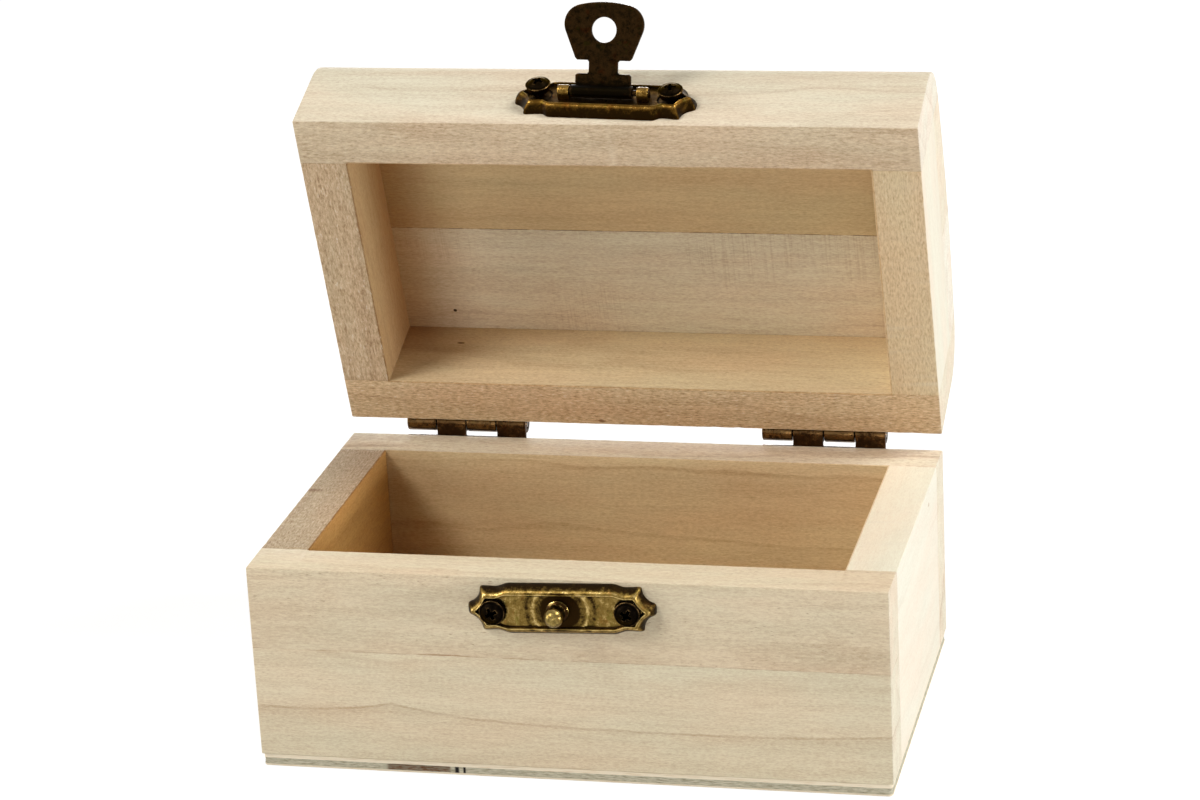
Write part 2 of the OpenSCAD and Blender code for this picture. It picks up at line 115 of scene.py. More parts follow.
# %% [markdown]
# A shader is a small machine of linked nodes, and laying each node by hand takes many lines. Two
# helpers make it short. A wire is the output of a node, and a sign between two wires lays the
# math node that reckons it out. A bench lays nodes in one tree: an input that is given a wire
# gets linked to it, and any other value is typed in.

# %% Wires, and a bench for laying nodes
class Wire:
    """A node's output. A sign between a wire and a wire or number lays a math node."""

    def __init__(self, bench, socket):
        self.bench, self.socket = bench, socket

    def __add__(self, other):
        return self.bench.math("ADD", self, other)

    def __sub__(self, other):
        return self.bench.math("SUBTRACT", self, other)

    def __rsub__(self, number):
        return self.bench.math("SUBTRACT", number, self)

    def __mul__(self, other):
        return self.bench.math("MULTIPLY", self, other)

    def __truediv__(self, other):
        return self.bench.math("DIVIDE", self, other)

    def __pow__(self, other):
        return self.bench.math("POWER", self, other)

    def __abs__(self):
        return self.bench.math("ABSOLUTE", self)


class Bench:
    """Lays nodes in one node tree."""

    def __init__(self, tree):
        self.tree = tree

    def node(self, kind, inputs=None, **settings):
        made = self.tree.nodes.new("ShaderNode" + kind)
        for name, value in settings.items():
            setattr(made, name, value)
        for name, value in (inputs or {}).items():
            if isinstance(value, Wire):
                self.tree.links.new(value.socket, made.inputs[name])
            else:
                made.inputs[name].default_value = value
        return made

    def wire(self, kind, inputs=None, output=0, **settings):
        """Lays a node and gives one of its outputs."""
        return Wire(self, self.node(kind, inputs, **settings).outputs[output])

    def math(self, operation, a, b=0.0):
        return self.wire("Math", {0: a, 1: b}, operation=operation)

    def vector(self, operation, a, b):
        return self.wire("VectorMath", {0: a, 1: b}, operation=operation)

    def length(self, vector):
        return self.wire("VectorMath", {0: vector}, "Value", operation="LENGTH")

    def axes(self, place):
        outputs = self.node("SeparateXYZ", {"Vector": place}).outputs
        return {axis: Wire(self, outputs[axis]) for axis in "XYZ"}

    def blend(self, share, a, b, mode="MIX"):
        return self.wire("Mix", {0: share, 6: a, 7: b}, 2, data_type="RGBA", blend_type=mode)

    def tint(self, color, by):
        return self.blend(1.0, color, by, "MULTIPLY")

    def step(self, value, low, high):
        """0 below low and 1 above high, with a soft change between; low may be the larger."""
        inputs = {"Value": value, "From Min": low, "From Max": high}
        return self.wire("MapRange", inputs, interpolation_type="SMOOTHSTEP")

    def cloud(self, place, stretch, detail=2.0, roughness=0.5):
        """Smooth noise from 0 to 1; stretch is how many lumps there are per millimetre."""
        place = self.vector("MULTIPLY", place, stretch)
        inputs = {"Vector": place, "Scale": 1.0, "Detail": detail, "Roughness": roughness}
        return self.wire("TexNoise", inputs)

    def surface(self, color, rough, height, relief, strength=1.0, **more):
        """Ends a material; the height is a bump, and relief is how far 1 stands out."""
        bump = self.wire("Bump", {"Height": height, "Strength": strength, "Distance": relief})
        inputs = {"Base Color": color, "Roughness": rough, "Normal": bump, **more}
        self.node("OutputMaterial", {"Surface": self.wire("BsdfPrincipled", inputs)})


def rgb(red, green, blue):
    """A colour as it is read on screen, from 0 to 255, turned into linear light."""
    linear = [
        part / 12.92 if part <= 0.04045 else ((part + 0.055) / 1.055) ** 2.4
        for part in (red / 255, green / 255, blue / 255)
    ]
    return (*linear, 1.0)


def new_material(name):
    """An empty material and its bench."""
    material = bpy.data.materials.new(name)
    material.use_nodes = True
    material.node_tree.nodes.clear()
    return material, Bench(material.node_tree)


WHITE = (1, 1, 1, 1)
print("wires and benches are ready")

# %% [markdown]
# The stage is plain: a white floor under the box and a white world. What the camera sees is
# white because the floor and the world say so to camera, glossy and transmission rays, and not
# because more light falls on the box. The floor mixes a little ordinary diffuse shading into
# that white, so the soft shadow at the foot of the box stays.

# %% White floor and world
FLOOR_SIZE = 4.0
FLOOR_GREY = (0.8, 0.8, 0.8, 1)
SHADOW_DEPTH = 0.35
WORLD_LIGHT = 0.03
WORLD_TINT = (1.0, 0.97, 0.93, 1)


def seen_directly(bench):
    """1 for camera, glossy and transmission rays, which see the backdrop itself."""
    outputs = bench.node("LightPath").outputs
    kinds = ("Is Camera Ray", "Is Glossy Ray", "Is Transmission Ray")
    camera_ray, glossy, through = (Wire(bench, outputs[kind]) for kind in kinds)
    return bench.math("MAXIMUM", bench.math("MAXIMUM", camera_ray, glossy), through)


floor_white, bench = new_material("floor_white")
diffuse = bench.wire("BsdfDiffuse", {"Color": FLOOR_GREY})
shaded = bench.wire("BsdfDiffuse", {"Color": (SHADOW_DEPTH,) * 3 + (1,)})
glow = bench.wire("Emission", {"Strength": 1 - SHADOW_DEPTH / 2})
backdrop = bench.wire("AddShader", {0: shaded, 1: glow})
surface = bench.wire("MixShader", {0: seen_directly(bench), 1: diffuse, 2: backdrop})
bench.node("OutputMaterial", {"Surface": surface})

bpy.ops.object.select_all(action="DESELECT")
bpy.ops.mesh.primitive_plane_add(size=FLOOR_SIZE)
floor = bpy.context.object
floor.name = "floor"
floor.data.materials.append(floor_white)

world = bpy.data.worlds.new("white_world")
bpy.context.scene.world = world
world.use_nodes = True
world.node_tree.nodes.clear()
bench = Bench(world.node_tree)
ambient = bench.wire("Background", {"Color": WORLD_TINT, "Strength": WORLD_LIGHT})
white = bench.wire("Background", {"Color": WHITE, "Strength": 1.0})
mixed = bench.wire("MixShader", {0: seen_directly(bench), 1: ambient, 2: white})
bench.node("OutputWorld", {"Surface": mixed})
print("floor and world are white to the camera")

# %% [markdown]
# Soft lamps light the box as in a product studio. The two strongest hang high. The left one
# reaches into the box and leaves soft shade in its left corners, which a painted shade in the
# wood deepens, and the right one, with a narrow strip low down, makes the right-hand ends the
# palest faces, together with a paler, bluer colour painted on them. Two weaker ones fill the
# left and the front, and one behind keeps the back of the box from going black. Big lamps give
# soft shadows, because each point sees only part of them hidden.

# %% Hang the lamps
AIM = Vector((0, 0, 50)) * MM
LAMPS = [
    ("left_softbox", (-0.8, -0.7, 1.1), 0.5, 10.0, (1.0, 0.98, 0.95)),
    ("right_softbox", (0.75, 0.1, 1.1), 0.4, 9.0, (1.0, 0.99, 0.97)),
    ("left_fill", (-1.3, -0.5, 0.35), 0.6, 6.0, (1.0, 0.98, 0.96)),
    ("right_strip", (1.25, -0.25, 0.05), 0.1, 7.5, (0.95, 0.97, 1.0)),
    ("front_fill", (0.3, -1.4, 0.12), 0.25, 1.5, (1, 1, 1)),
    ("back_fill", (-0.35, 1.35, 0.08), 0.4, 4.5, (1, 1, 1)),
]

for name, spot, size, power, colour in LAMPS:
    lamp_data = bpy.data.lights.new(name, "AREA")
    lamp_data.shape = "SQUARE"
    lamp_data.size = size
    lamp_data.energy = power
    lamp_data.color = colour
    lamp = bpy.data.objects.new(name, lamp_data)
    lamp.location = spot
    lamp.rotation_euler = (AIM - Vector(spot)).to_track_quat("-Z", "Y").to_euler()
    bpy.context.scene.collection.objects.link(lamp)
print("lamps:", [name for name, *_ in LAMPS])

# %% [markdown]
# Every size is read from the frame. The base stands as it is, but the lid is open, so its boards
# lie at an angle there. They are far easier to model shut, flat above the base, and to turn
# open at the end. The lid's joint gives the line of the hinge pins and the angle.

# %% Read the frame
joints = {joint["name"]: joint for joint in frame["joints"]}


def opened_by(joint):
    """How far a joint stands from its closed end, in radians."""
    return -math.radians(joint["range_deg"][0])


hinge_line = Vector(joints["lid_hinge"]["pos_m"])
lid_angle = opened_by(joints["lid_hinge"])
lid_pose = (
    Matrix.Translation(hinge_line)
    @ Matrix.Rotation(-lid_angle, 4, "X")
    @ Matrix.Translation(-hinge_line)
)


def shut_box(node, pose=lid_pose):
    """Lowest and highest corner of a node after it is turned back to the shut position."""
    spots = [pose.inverted() @ vert.co for vert in frame["nodes"][node].data.vertices]
    low = Vector([min(spot[axis] for spot in spots) for axis in range(3)])
    high = Vector([max(spot[axis] for spot in spots) for axis in range(3)])
    return low, high


base_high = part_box("base_back_board")[1]
front_low, front_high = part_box("base_front_lower_strip")
HALF_WIDTH = base_high.x
FRONT, BACK = front_low.y, base_high.y
BOARD_FOOT, RIM = front_low.z, base_high.z
FRONT_BOARD = front_high.y - front_low.y
END_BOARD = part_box("base_left_end")[1].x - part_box("base_left_end")[0].x
LID_RIM = shut_box("lid_left_end")[0].z
CEILING = shut_box("lid_left_end")[1].z
LID_TOP = shut_box("lid_top_back_plank")[1].z
PLANK_SEAM = shut_box("lid_top_front_plank")[1].y
print("box, mm:", [round(side / MM, 1) for side in (2 * HALF_WIDTH, BACK - FRONT, LID_TOP)])
print("the lid stands open by", round(math.degrees(lid_angle)), "degrees")

# %% [markdown]
# Operators act on whatever is selected, so these helpers keep the desk tidy: one leaves edit
# mode and deselects everything, one selects parts of the piece being edited by a test on their
# place, and one runs a modifier and applies it. The last three make copies of a piece, lay them
# in their places and join pieces into one.

# %% Helpers for modelling by hand
def clear_desk():
    if bpy.context.object and bpy.context.object.mode != "OBJECT":
        bpy.ops.object.mode_set(mode="OBJECT")
    bpy.ops.object.select_all(action="DESELECT")


def pick(piece):
    """Makes a piece the only selected one, and the active one."""
    clear_desk()
    piece.select_set(True)
    bpy.context.view_layer.objects.active = piece


def edit(piece, kind):
    """Enters edit mode with nothing selected; kind is VERT, EDGE or FACE."""
    pick(piece)
    bpy.ops.object.mode_set(mode="EDIT")
    bpy.ops.mesh.select_mode(type=kind)
    bpy.ops.mesh.select_all(action="DESELECT")
    return bmesh.from_edit_mesh(piece.data)


def middle_of(part):
    """The middle of an edge or face."""
    return sum((vert.co for vert in part.verts), Vector()) / len(part.verts)


def select(piece, parts, test):
    """Selects the parts that pass the test, and says how many there are."""
    chosen = [part for part in parts if test(part)]
    for part in chosen:
        part.select_set(True)
    bmesh.update_edit_mesh(piece.data)
    return len(chosen)


def apply_modifier(piece, kind, **settings):
    pick(piece)
    modifier = piece.modifiers.new(kind.lower(), kind)
    for name, value in settings.items():
        setattr(modifier, name, value)
    bpy.ops.object.modifier_apply(modifier=modifier.name)


def settle(piece, pose):
    """Puts a piece modelled in its own frame into its place, and keeps the place in the mesh."""
    pick(piece)
    piece.matrix_world = pose
    bpy.ops.object.transform_apply(location=True, rotation=True, scale=True)


def copy_of(piece):
    """A copy with a mesh of its own."""
    copy = piece.copy()
    copy.data = piece.data.copy()
    bpy.context.scene.collection.objects.link(copy)
    return copy


def copies_at(piece, poses):
    """Copies of a piece at each pose, joined into one piece; the first one is the piece itself."""
    pieces = [piece] + [copy_of(piece) for _ in poses[1:]]
    for each, pose in zip(pieces, poses):
        settle(each, pose)
    join(piece, pieces)
    return piece


def join(piece, others):
    """Makes several pieces one."""
    pick(piece)
    for other in others:
        other.select_set(True)
    bpy.ops.object.join()


print("modelling helpers are ready")

# %% [markdown]
# Many forms here are an outline drawn at one place and then pulled along. By hand that is a
# circle whose points are moved onto the outline, and whose edge is extruded and laid on the next
# outline, again and again. `draw_skin` does just that. It numbers the circle's points first,
# because extruding copies the number, so each new point knows where it belongs.

# %% A skin drawn through rings of points
def draw_skin(name, rings, first_closed=True, last_closed=True):
    clear_desk()
    fill = "NGON" if first_closed else "NOTHING"
    bpy.ops.mesh.primitive_circle_add(vertices=len(rings[0]), fill_type=fill)
    piece = bpy.context.object
    piece.name = name
    mesh = edit(piece, "EDGE")
    number = mesh.verts.layers.int.new("number")
    for index, vert in enumerate(mesh.verts):
        vert[number] = index
        vert.co = rings[0][index]
    select(piece, mesh.edges, lambda edge: True)
    for ring in rings[1:]:
        bpy.ops.mesh.extrude_edges_move()
        mesh = bmesh.from_edit_mesh(piece.data)
        number = mesh.verts.layers.int["number"]
        for vert in mesh.verts:
            if vert.select:
                vert.co = ring[vert[number]]
        bmesh.update_edit_mesh(piece.data)
    if last_closed:
        bpy.ops.mesh.edge_face_add()
    bpy.ops.mesh.select_all(action="SELECT")
    bpy.ops.mesh.remove_doubles(threshold=0.001 * MM)
    bpy.ops.mesh.normals_make_consistent(inside=False)
    clear_desk()
    return piece


print("skins can be drawn")

# %% [markdown]
# ## The boards
# The base is a glued frame: a front and a back board over the full width, with the end boards
# between them. Only edges in the open get rounded by sandpaper, while an edge along a glue line
# stays flush with its neighbour. So each edge is asked whether a point just outside either of
# its faces lies inside another board. An open edge gets a real, slightly uneven arris, and a
# glued one only a hair-thin groove that draws the joint.

# %% The plan of the boards, with the lid shut
DOME_STRAIGHT = 13 * MM
SHOULDER = 8 * MM
inner_x = HALF_WIDTH - END_BOARD
inner_front, inner_back = FRONT + FRONT_BOARD, BACK - FRONT_BOARD
strip_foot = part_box("base_front_upper_strip")[0].z

wide, left, right = (-HALF_WIDTH, HALF_WIDTH), (-HALF_WIDTH, -inner_x), (inner_x, HALF_WIDTH)
at_front, between, at_back = (FRONT, inner_front), (inner_front, inner_back), (inner_back, BACK)
plan = {
    "base_front_lower_strip": (wide, at_front, (BOARD_FOOT, strip_foot)),
    "base_front_upper_strip": (wide, at_front, (strip_foot, RIM)),
    "base_back_board": (wide, at_back, (BOARD_FOOT, RIM)),
    "base_left_end": (left, between, (BOARD_FOOT, RIM)),
    "base_right_end": (right, between, (BOARD_FOOT, RIM)),
    "lid_front_board": (wide, at_front, (LID_RIM, LID_TOP)),
    "lid_back_board": (wide, at_back, (LID_RIM, LID_TOP)),
    "lid_left_end": (left, between, (LID_RIM, CEILING)),
    "lid_right_end": (right, between, (LID_RIM, CEILING)),
    "lid_top_front_plank": (wide, (inner_front, PLANK_SEAM), (CEILING, LID_TOP)),
    "lid_top_back_plank": (wide, (PLANK_SEAM, inner_back), (CEILING, LID_TOP)),
}

half_gap = (BACK - FRONT) / 2 - SHOULDER
shoulder_z = LID_RIM + DOME_STRAIGHT
dome_rise = LID_TOP - shoulder_z
crown_radius = (half_gap**2 + dome_rise**2 - SHOULDER**2) / (2 * (dome_rise - SHOULDER))
crown_z = LID_TOP - crown_radius
meet_y = half_gap + SHOULDER * half_gap / (crown_radius - SHOULDER)


def dome_height(y):
    """Height of the lid's outer skin at a depth: two shoulder arcs that run into a wide crown."""
    from_middle = abs(y - (FRONT + BACK) / 2)
    if from_middle < meet_y:
        return crown_z + math.sqrt(crown_radius**2 - from_middle**2)
    return shoulder_z + math.sqrt(max(SHOULDER**2 - (from_middle - half_gap) ** 2, 0))


def in_another_board(spot, own_name):
    for name, spans in plan.items():
        inside = all(low < place < high for (low, high), place in zip(spans, spot))
        if inside and name != own_name and (spot.z < RIM or spot.z < dome_height(spot.y)):
            return True
    return False


print("crown radius, mm:", round(crown_radius / MM, 1))

# %% Round the open edges and leave the glued ones flush
ARRIS = 0.22 * MM
JOINT_GROOVE = 0.025 * MM
SHARP = math.radians(35)
ROUNDED = (math.radians(15), math.radians(60))
PROBE = 0.06 * MM
WAVES_PER_MM, NICKS_PER_MM, NICK_LEVEL = 0.9, 2.3, 0.35


def is_glued(edge, own_name):
    spot = middle_of(edge)
    normals = [face.normal for face in edge.link_faces]
    within = spot - (normals[0] + normals[1]) * PROBE / 3
    return any(in_another_board(within + normal * PROBE, own_name) for normal in normals)


def soften_edges(piece, own_name, width, glued):
    mesh = edit(piece, "EDGE")
    mesh.normal_update()

    def wanted(edge):
        sharp = len(edge.link_faces) == 2 and edge.calc_face_angle(0) > SHARP
        return sharp and is_glued(edge, own_name) == glued

    count = select(piece, mesh.edges, wanted)
    if count:
        bpy.ops.mesh.bevel(offset=width, offset_type="OFFSET", segments=2, affect="EDGES")
    clear_desk()
    return count


def wear_edges(piece, depth, seed):
    """Moves the points of the rounded edges in and out a little, as a plane and sandpaper do."""
    mesh = edit(piece, "VERT")
    mesh.normal_update()
    for vert in mesh.verts:
        turn = max((edge.calc_face_angle(0) for edge in vert.link_edges), default=0)
        if ROUNDED[0] < turn < ROUNDED[1]:
            spot = vert.co / MM
            wave = noise.noise(spot * WAVES_PER_MM + Vector((0, 0, seed)))
            nick_spot = Vector((spot.x * NICKS_PER_MM, spot.y * NICKS_PER_MM, seed * 7))
            nick = max(noise.noise(nick_spot) - NICK_LEVEL, 0)
            vert.co -= vert.normal * depth * (0.5 + 0.5 * wave + 3 * nick)
    bmesh.update_edit_mesh(piece.data)
    clear_desk()


print("edges are rounded by", round(ARRIS / MM, 2), "mm in the open")

# %% Saw the boards from the plan
EDGE_WEAR = 0.07 * MM
SLICE = 0.8 * MM
DOME_STEPS = 12


def dome_depths(low, high):
    """Depths from face to face of a board, closer together where the shoulder turns upright."""
    shares = [step / DOME_STEPS for step in range(DOME_STEPS + 1)]
    if low == FRONT:
        shares = [1 - math.cos(math.pi / 2 * share) for share in shares]
    if high == BACK:
        shares = [math.sin(math.pi / 2 * share) for share in shares]
    return [low + (high - low) * share for share in shares]


def saw_block(low, high):
    """A cube laid on the board's place in the plan."""
    clear_desk()
    bpy.ops.mesh.primitive_cube_add(size=1, location=(low + high) / 2, scale=high - low)
    bpy.ops.object.transform_apply(location=True, rotation=True, scale=True)
    return bpy.context.object


def saw_dome_board(name, low, high):
    """The board's section, drawn on the left and pulled over to the right."""
    section = [(depth, dome_height(depth)) for depth in dome_depths(low.y, high.y)]
    section += [(high.y, low.z), (low.y, low.z)]
    rings = [[Vector((x, y, z)) for y, z in section] for x in (-HALF_WIDTH, HALF_WIDTH)]
    return draw_skin(name, rings)


def cut_across(piece, length):
    """Cuts the long edges into short lengths, so that they can wear unevenly."""
    mesh = edit(piece, "EDGE")
    select(piece, mesh.edges, lambda edge: edge.calc_length() > length - MM)
    bpy.ops.mesh.subdivide(number_cuts=round(length / SLICE))
    clear_desk()


def make_board(name, seed):
    domed = name in ("lid_front_board", "lid_back_board") or "plank" in name
    low, high = (Vector(corner) for corner in zip(*plan[name]))
    piece = saw_dome_board(name, low, high) if domed else saw_block(low, high)
    cut_across(piece, max(high - low))
    opened = soften_edges(piece, name, ARRIS, glued=False)
    wear_edges(piece, EDGE_WEAR, seed)
    joined = soften_edges(piece, name, JOINT_GROOVE, glued=True)
    print(name, "open edges:", opened, "glued edges:", joined)
    return piece


print("boards to saw:", len(plan))

# %% [markdown]
# ## The timber
# The wood is a pale, plain softwood: faint growth rings, long fibres, short dark pores, and a
# warm blotchy tint. Real wood is cut from a solid, so the pattern is a solid one too. It is
# worked out from each point's place, in millimetres, with the first axis along the grain. The
# rings are shells round a pith that lies far outside the board. So the same pattern gives long
# lines on a face and arcs on an end, and they meet at the edges. A sawn face shows torn fibres
# instead. The effect is one node group, and each board sets its own values.

# %% The timber group
def new_group(name, inputs, outputs):
    """An empty node group: inputs and outputs give each socket's name and kind."""
    tree = bpy.data.node_groups.new(name, "ShaderNodeTree")
    for direction, sockets in (("INPUT", inputs), ("OUTPUT", outputs)):
        for socket, kind in sockets.items():
            tree.interface.new_socket(socket, in_out=direction, socket_type="NodeSocket" + kind)
    bench = Bench(tree)
    taken_sockets = tree.nodes.new("NodeGroupInput").outputs
    taken = {socket: Wire(bench, taken_sockets[socket]) for socket in inputs}
    given = tree.nodes.new("NodeGroupOutput").inputs
    return tree, bench, taken, given


def give(given, **wires):
    """Links wires to the outputs of a group."""
    for name, wire in wires.items():
        wire.bench.tree.links.new(wire.socket, given[name])


TIMBER_INPUTS = {
    "Place": "Vector",
    "Seed": "Float",
    "Pith": "Vector",
    "Ring Width": "Float",
    "Rings": "Float",
    "Pale": "Color",
    "Brown": "Color",
    "Fibres": "Float",
    "Pores": "Float",
    "Mottle": "Float",
    "Tint": "Color",
    "Sawn": "Float",
    "Sawn Tint": "Color",
    "Torn": "Float",
    "Dirt": "Float",
}
GROUP_OUTPUTS = {"Color": "Color", "Height": "Float", "Roughness": "Float"}
# The pit tint and the two tear colours are partly torn-wood colour, and partly painted shade in the pits and
# painted light, paler and bluer, on the raised fibres.
PORE_TINT, PIT_SHADE_TINT = (0.58, 0.47, 0.38, 1), (0.72, 0.62, 0.53, 1)
PINKISH, GREENISH = (1.0, 0.94, 0.89, 1), (0.95, 0.98, 0.95, 1)
TEAR_LOW_SHADE, TEAR_HIGH_LIGHT = (0.78, 0.72, 0.66, 1), (1.10, 1.12, 1.15, 1)
FLECK_COLOUR, RESIN_COLOUR = (0.80, 0.72, 0.60, 1), (0.05, 0.028, 0.015, 1)

timber, bench, taken, given = new_group("timber", TIMBER_INPUTS, GROUP_OUTPUTS)
place = bench.vector("ADD", taken["Place"], bench.vector("MULTIPLY", (31.7, 17.3, 11.9), taken["Seed"]))

# Growth rings: shells round the pith, pushed in and out a little along the board. Each ends in
# a thin brown line, after a shade that grows slowly towards it
across = bench.vector("MULTIPLY", bench.vector("SUBTRACT", taken["Place"], taken["Pith"]), (0, 1, 1))
sway = bench.cloud(place, (0.018, 0.05, 0.05), 2) * 12.0
ripple = bench.cloud(place, (0.12, 0.4, 0.4), 2) * 0.9
ring = (bench.length(across) + sway + ripple) / taken["Ring Width"]
season = bench.math("FRACT", ring)
line = bench.step(season, 0.90, 0.955) * bench.step(season, 1.0, 0.965)
shade = bench.step(season, 0.15, 0.95) * bench.step(season, 1.0, 0.985)
year = bench.wire("TexWhiteNoise", {"W": bench.math("FLOOR", ring)}, noise_dimensions="1D")
faint = bench.step(bench.cloud(place, (0.03, 0.2, 0.2), 1), 0.25, 0.6)
late = (line * 0.7 + shade * 0.3) * (year * 0.9 + 0.1) * faint * taken["Rings"]

# Fibres: short fine grit, over longer and softer streaks
grit = bench.cloud(place, (1.3, 5.0, 5.0), 4, 0.75)
fine = bench.cloud(place, (0.22, 3.2, 3.2), 3, 0.6)
broad = bench.cloud(place, (0.03, 0.45, 0.45), 3, 0.55)
streak = (grit * 1.7 + fine * 0.6 + broad * 0.6 - 1.25) * taken["Fibres"]

# Pores: short dark dashes, gathered in bands
dash = bench.step(bench.cloud(place, (0.9, 5.5, 5.5), 2), 0.63, 0.74)
band = bench.step(bench.cloud(place, (0.04, 0.30, 0.30), 1), 0.35, 0.62)
pore = dash * band * taken["Pores"]

# Colour: pale to brown by ring, streak and dirt, then a blotchy tint, then the pores
share = bench.wire("Clamp", {"Value": late + streak + taken["Dirt"]})
wood = bench.blend(share, taken["Pale"], taken["Brown"])
blotch = bench.step(bench.cloud(place, (0.03, 0.12, 0.12), 3), 0.3, 0.7)
wood = bench.blend(taken["Mottle"], wood, bench.tint(wood, bench.blend(blotch, PINKISH, GREENISH)))
wood = bench.blend(pore, wood, bench.tint(wood, PORE_TINT))
wood = bench.tint(wood, taken["Tint"])

# Sawn faces: torn fibres, darker in the pits and paler where they are bruised. The colour
# follows the relief of the tear, so it is partly painted shade in the pits and painted light,
# paler and bluer, on the raised fibres
torn = bench.cloud(place, (1.0, 3.4, 3.4), 4, 0.68)
pit = bench.step(torn, 0.43, 0.30) * taken["Torn"]
fleck = bench.step(torn, 0.60, 0.72) * taken["Torn"]
tear = bench.blend(bench.step(torn, 0.36, 0.64), TEAR_LOW_SHADE, TEAR_HIGH_LIGHT)
rough_wood = bench.tint(wood, taken["Sawn Tint"])
rough_wood = bench.blend(taken["Torn"], rough_wood, bench.tint(rough_wood, tear))
rough_wood = bench.blend(pit, rough_wood, bench.tint(rough_wood, PIT_SHADE_TINT))
rough_wood = bench.blend(fleck, rough_wood, FLECK_COLOUR)
color = bench.blend(taken["Sawn"], wood, rough_wood)

# Knots and resin: where the dirt goes past full, it turns nearly black
color = bench.blend(bench.step(taken["Dirt"], 1.0, 1.5), color, RESIN_COLOUR)

# Height: fibres stand up a little, and pores and torn pits go down
height = grit * 0.5 - pore * 0.6 + fine * 0.35 + torn * 2.2 * taken["Sawn"] * taken["Torn"]
give(given, Color=color, Height=height, Roughness=grit * 0.15 + 0.55)
print("timber group:", len(timber.nodes), "nodes")

# %% [markdown]
# A board's finish puts the group to work. It starts from the object's own coordinates. On the
# lid these are turned back to the shut position first, and on the end boards a quarter turn
# brings the grain along the first axis. Masks then mark where things change: the sawn rim, the
# inside of the box, and the dark glue lines along the seams. The inside gets its own colour,
# partly browner raw wood and partly painted shade, and a painted shade grows towards its left
# end, most of all deep down, where the end board shades it and only light that has bounced off
# wood arrives. The cut ends of the long boards get a painted cool tint, paler and bluer than
# their faces, which stands in for the cool light on the right-hand ends.

# %% One finish for each board
SAWN_DEPTH = 0.25 * MM
GLUE_LINE = 0.07
GRAIN_RELIEF = 0.05 * MM
SKIN = 0.3
CUT_SKIN = 0.15
INNER_DIRT = 0.04
PAINTED_COOL_END_TINT = (1.0, 1.04, 1.13, 1)
SHADE_REACH, SHADE_TINT = 15.0, (0.46, 0.32, 0.19, 1)


def shut_place(bench, on_lid):
    """Object coordinates in millimetres, turned back to the shut position on the lid."""
    place = bench.wire("TexCoord", output="Object")
    if on_lid:
        back = lid_pose.inverted()
        inputs = {"Vector": place, "Location": back.translation, "Rotation": back.to_euler()}
        place = bench.wire("Mapping", inputs)
    return bench.vector("MULTIPLY", place, (1000, 1000, 1000))


def near(value, level, width):
    """1 where a value is at a level, fading to 0 at width from it."""
    return value.bench.step(abs(value - level), width, width * 0.3)


def corner_shade(bench, axes, on_lid):
    """How much painted shade the inside gets: more deep down at its left end, least at the rim."""
    rim, floor_z = (LID_RIM, CEILING) if on_lid else (RIM, BOARD_FOOT)
    side = bench.step(axes["X"], SHADE_REACH - inner_x / MM, -inner_x / MM)
    deep = bench.step(axes["Z"], rim / MM, floor_z / MM)
    return side * (deep * 0.75 + 0.25)


def board_masks(bench, axes, on_lid):
    """The sawn rim and the inside of the box."""
    rim, depth = (LID_RIM, SAWN_DEPTH) if on_lid else (RIM, -SAWN_DEPTH)
    sawn = bench.step(axes["Z"], (rim + depth) / MM, rim / MM)
    inside = bench.math("LESS_THAN", abs(axes["X"]), inner_x / MM + SKIN)
    inside = inside * bench.math("LESS_THAN", abs(axes["Y"]), inner_back / MM + SKIN)
    if on_lid:
        inside = inside * bench.math("LESS_THAN", axes["Z"], CEILING / MM + SKIN)
    return sawn, inside


def board_finish(name, values, seams=(), marks=()):
    on_lid, is_end = name.startswith("lid"), "end" in name
    material, bench = new_material(name + "_finish")
    place = shut_place(bench, on_lid)
    axes = bench.axes(place)
    sawn, inside = board_masks(bench, axes, on_lid)

    outside = WHITE
    # Painted light: the cut ends of the long boards get a paler, bluer tint, which stands in for the cool
    # light on the right-hand ends; it is painted at both ends.
    if not is_end:
        cut_end = bench.math("GREATER_THAN", abs(axes["X"]), HALF_WIDTH / MM - CUT_SKIN)
        outside = bench.blend(cut_end, outside, PAINTED_COOL_END_TINT)
    # Painted shade: the inside colour holds painted shade besides the browner raw wood, and a further
    # painted shade grows towards the left end, where the end board shades it.
    tint = bench.blend(inside, outside, values["Inside Tint And Shade"])
    shade = inside * corner_shade(bench, axes, on_lid)
    tint = bench.blend(shade, tint, bench.tint(tint, SHADE_TINT))

    # Glue lines, broken up a little along their length, and the board's own marks
    dirt = inside * INNER_DIRT
    beads = bench.step(bench.cloud(place, (0.35, 0.35, 0.35), 3), 0.34, 0.62)
    for axis, level, strength in seams:
        dirt = dirt + near(axes[axis], level / MM, GLUE_LINE) * strength * beads
    for mark in marks:
        dirt = dirt + mark(bench, axes, place)

    if is_end:
        place = bench.wire("Mapping", {"Vector": place, "Rotation": (0, 0, math.pi / 2)})
    inputs = {"Place": place, "Sawn": sawn, "Dirt": dirt, "Tint": tint}
    inputs.update((socket, value) for socket, value in values.items() if socket in TIMBER_INPUTS)
    group = bench.node("Group", inputs, node_tree=timber).outputs
    color, height, rough = (Wire(bench, group[socket]) for socket in GROUP_OUTPUTS)
    bench.surface(color, rough, height, GRAIN_RELIEF, **{"Specular IOR Level": 0.25})
    return material


print("finish helper is ready")

# %% [markdown]
# Eleven boards make the box. All come from the same pale stock, yet each was cut from another
# place in it, so each has its own seed, tones and pith. The two right-hand end boards are also
# painted paler and bluer, which stands in for the cool light from the right, and the inside
# colours hold painted shade. The upper strip of the front is pinkish and full of pores, the
# lower one creamier with one long wavy ring. Marks are laid one by one: stains, a knot, beads
# of resin, and the fine scratches of a plane.

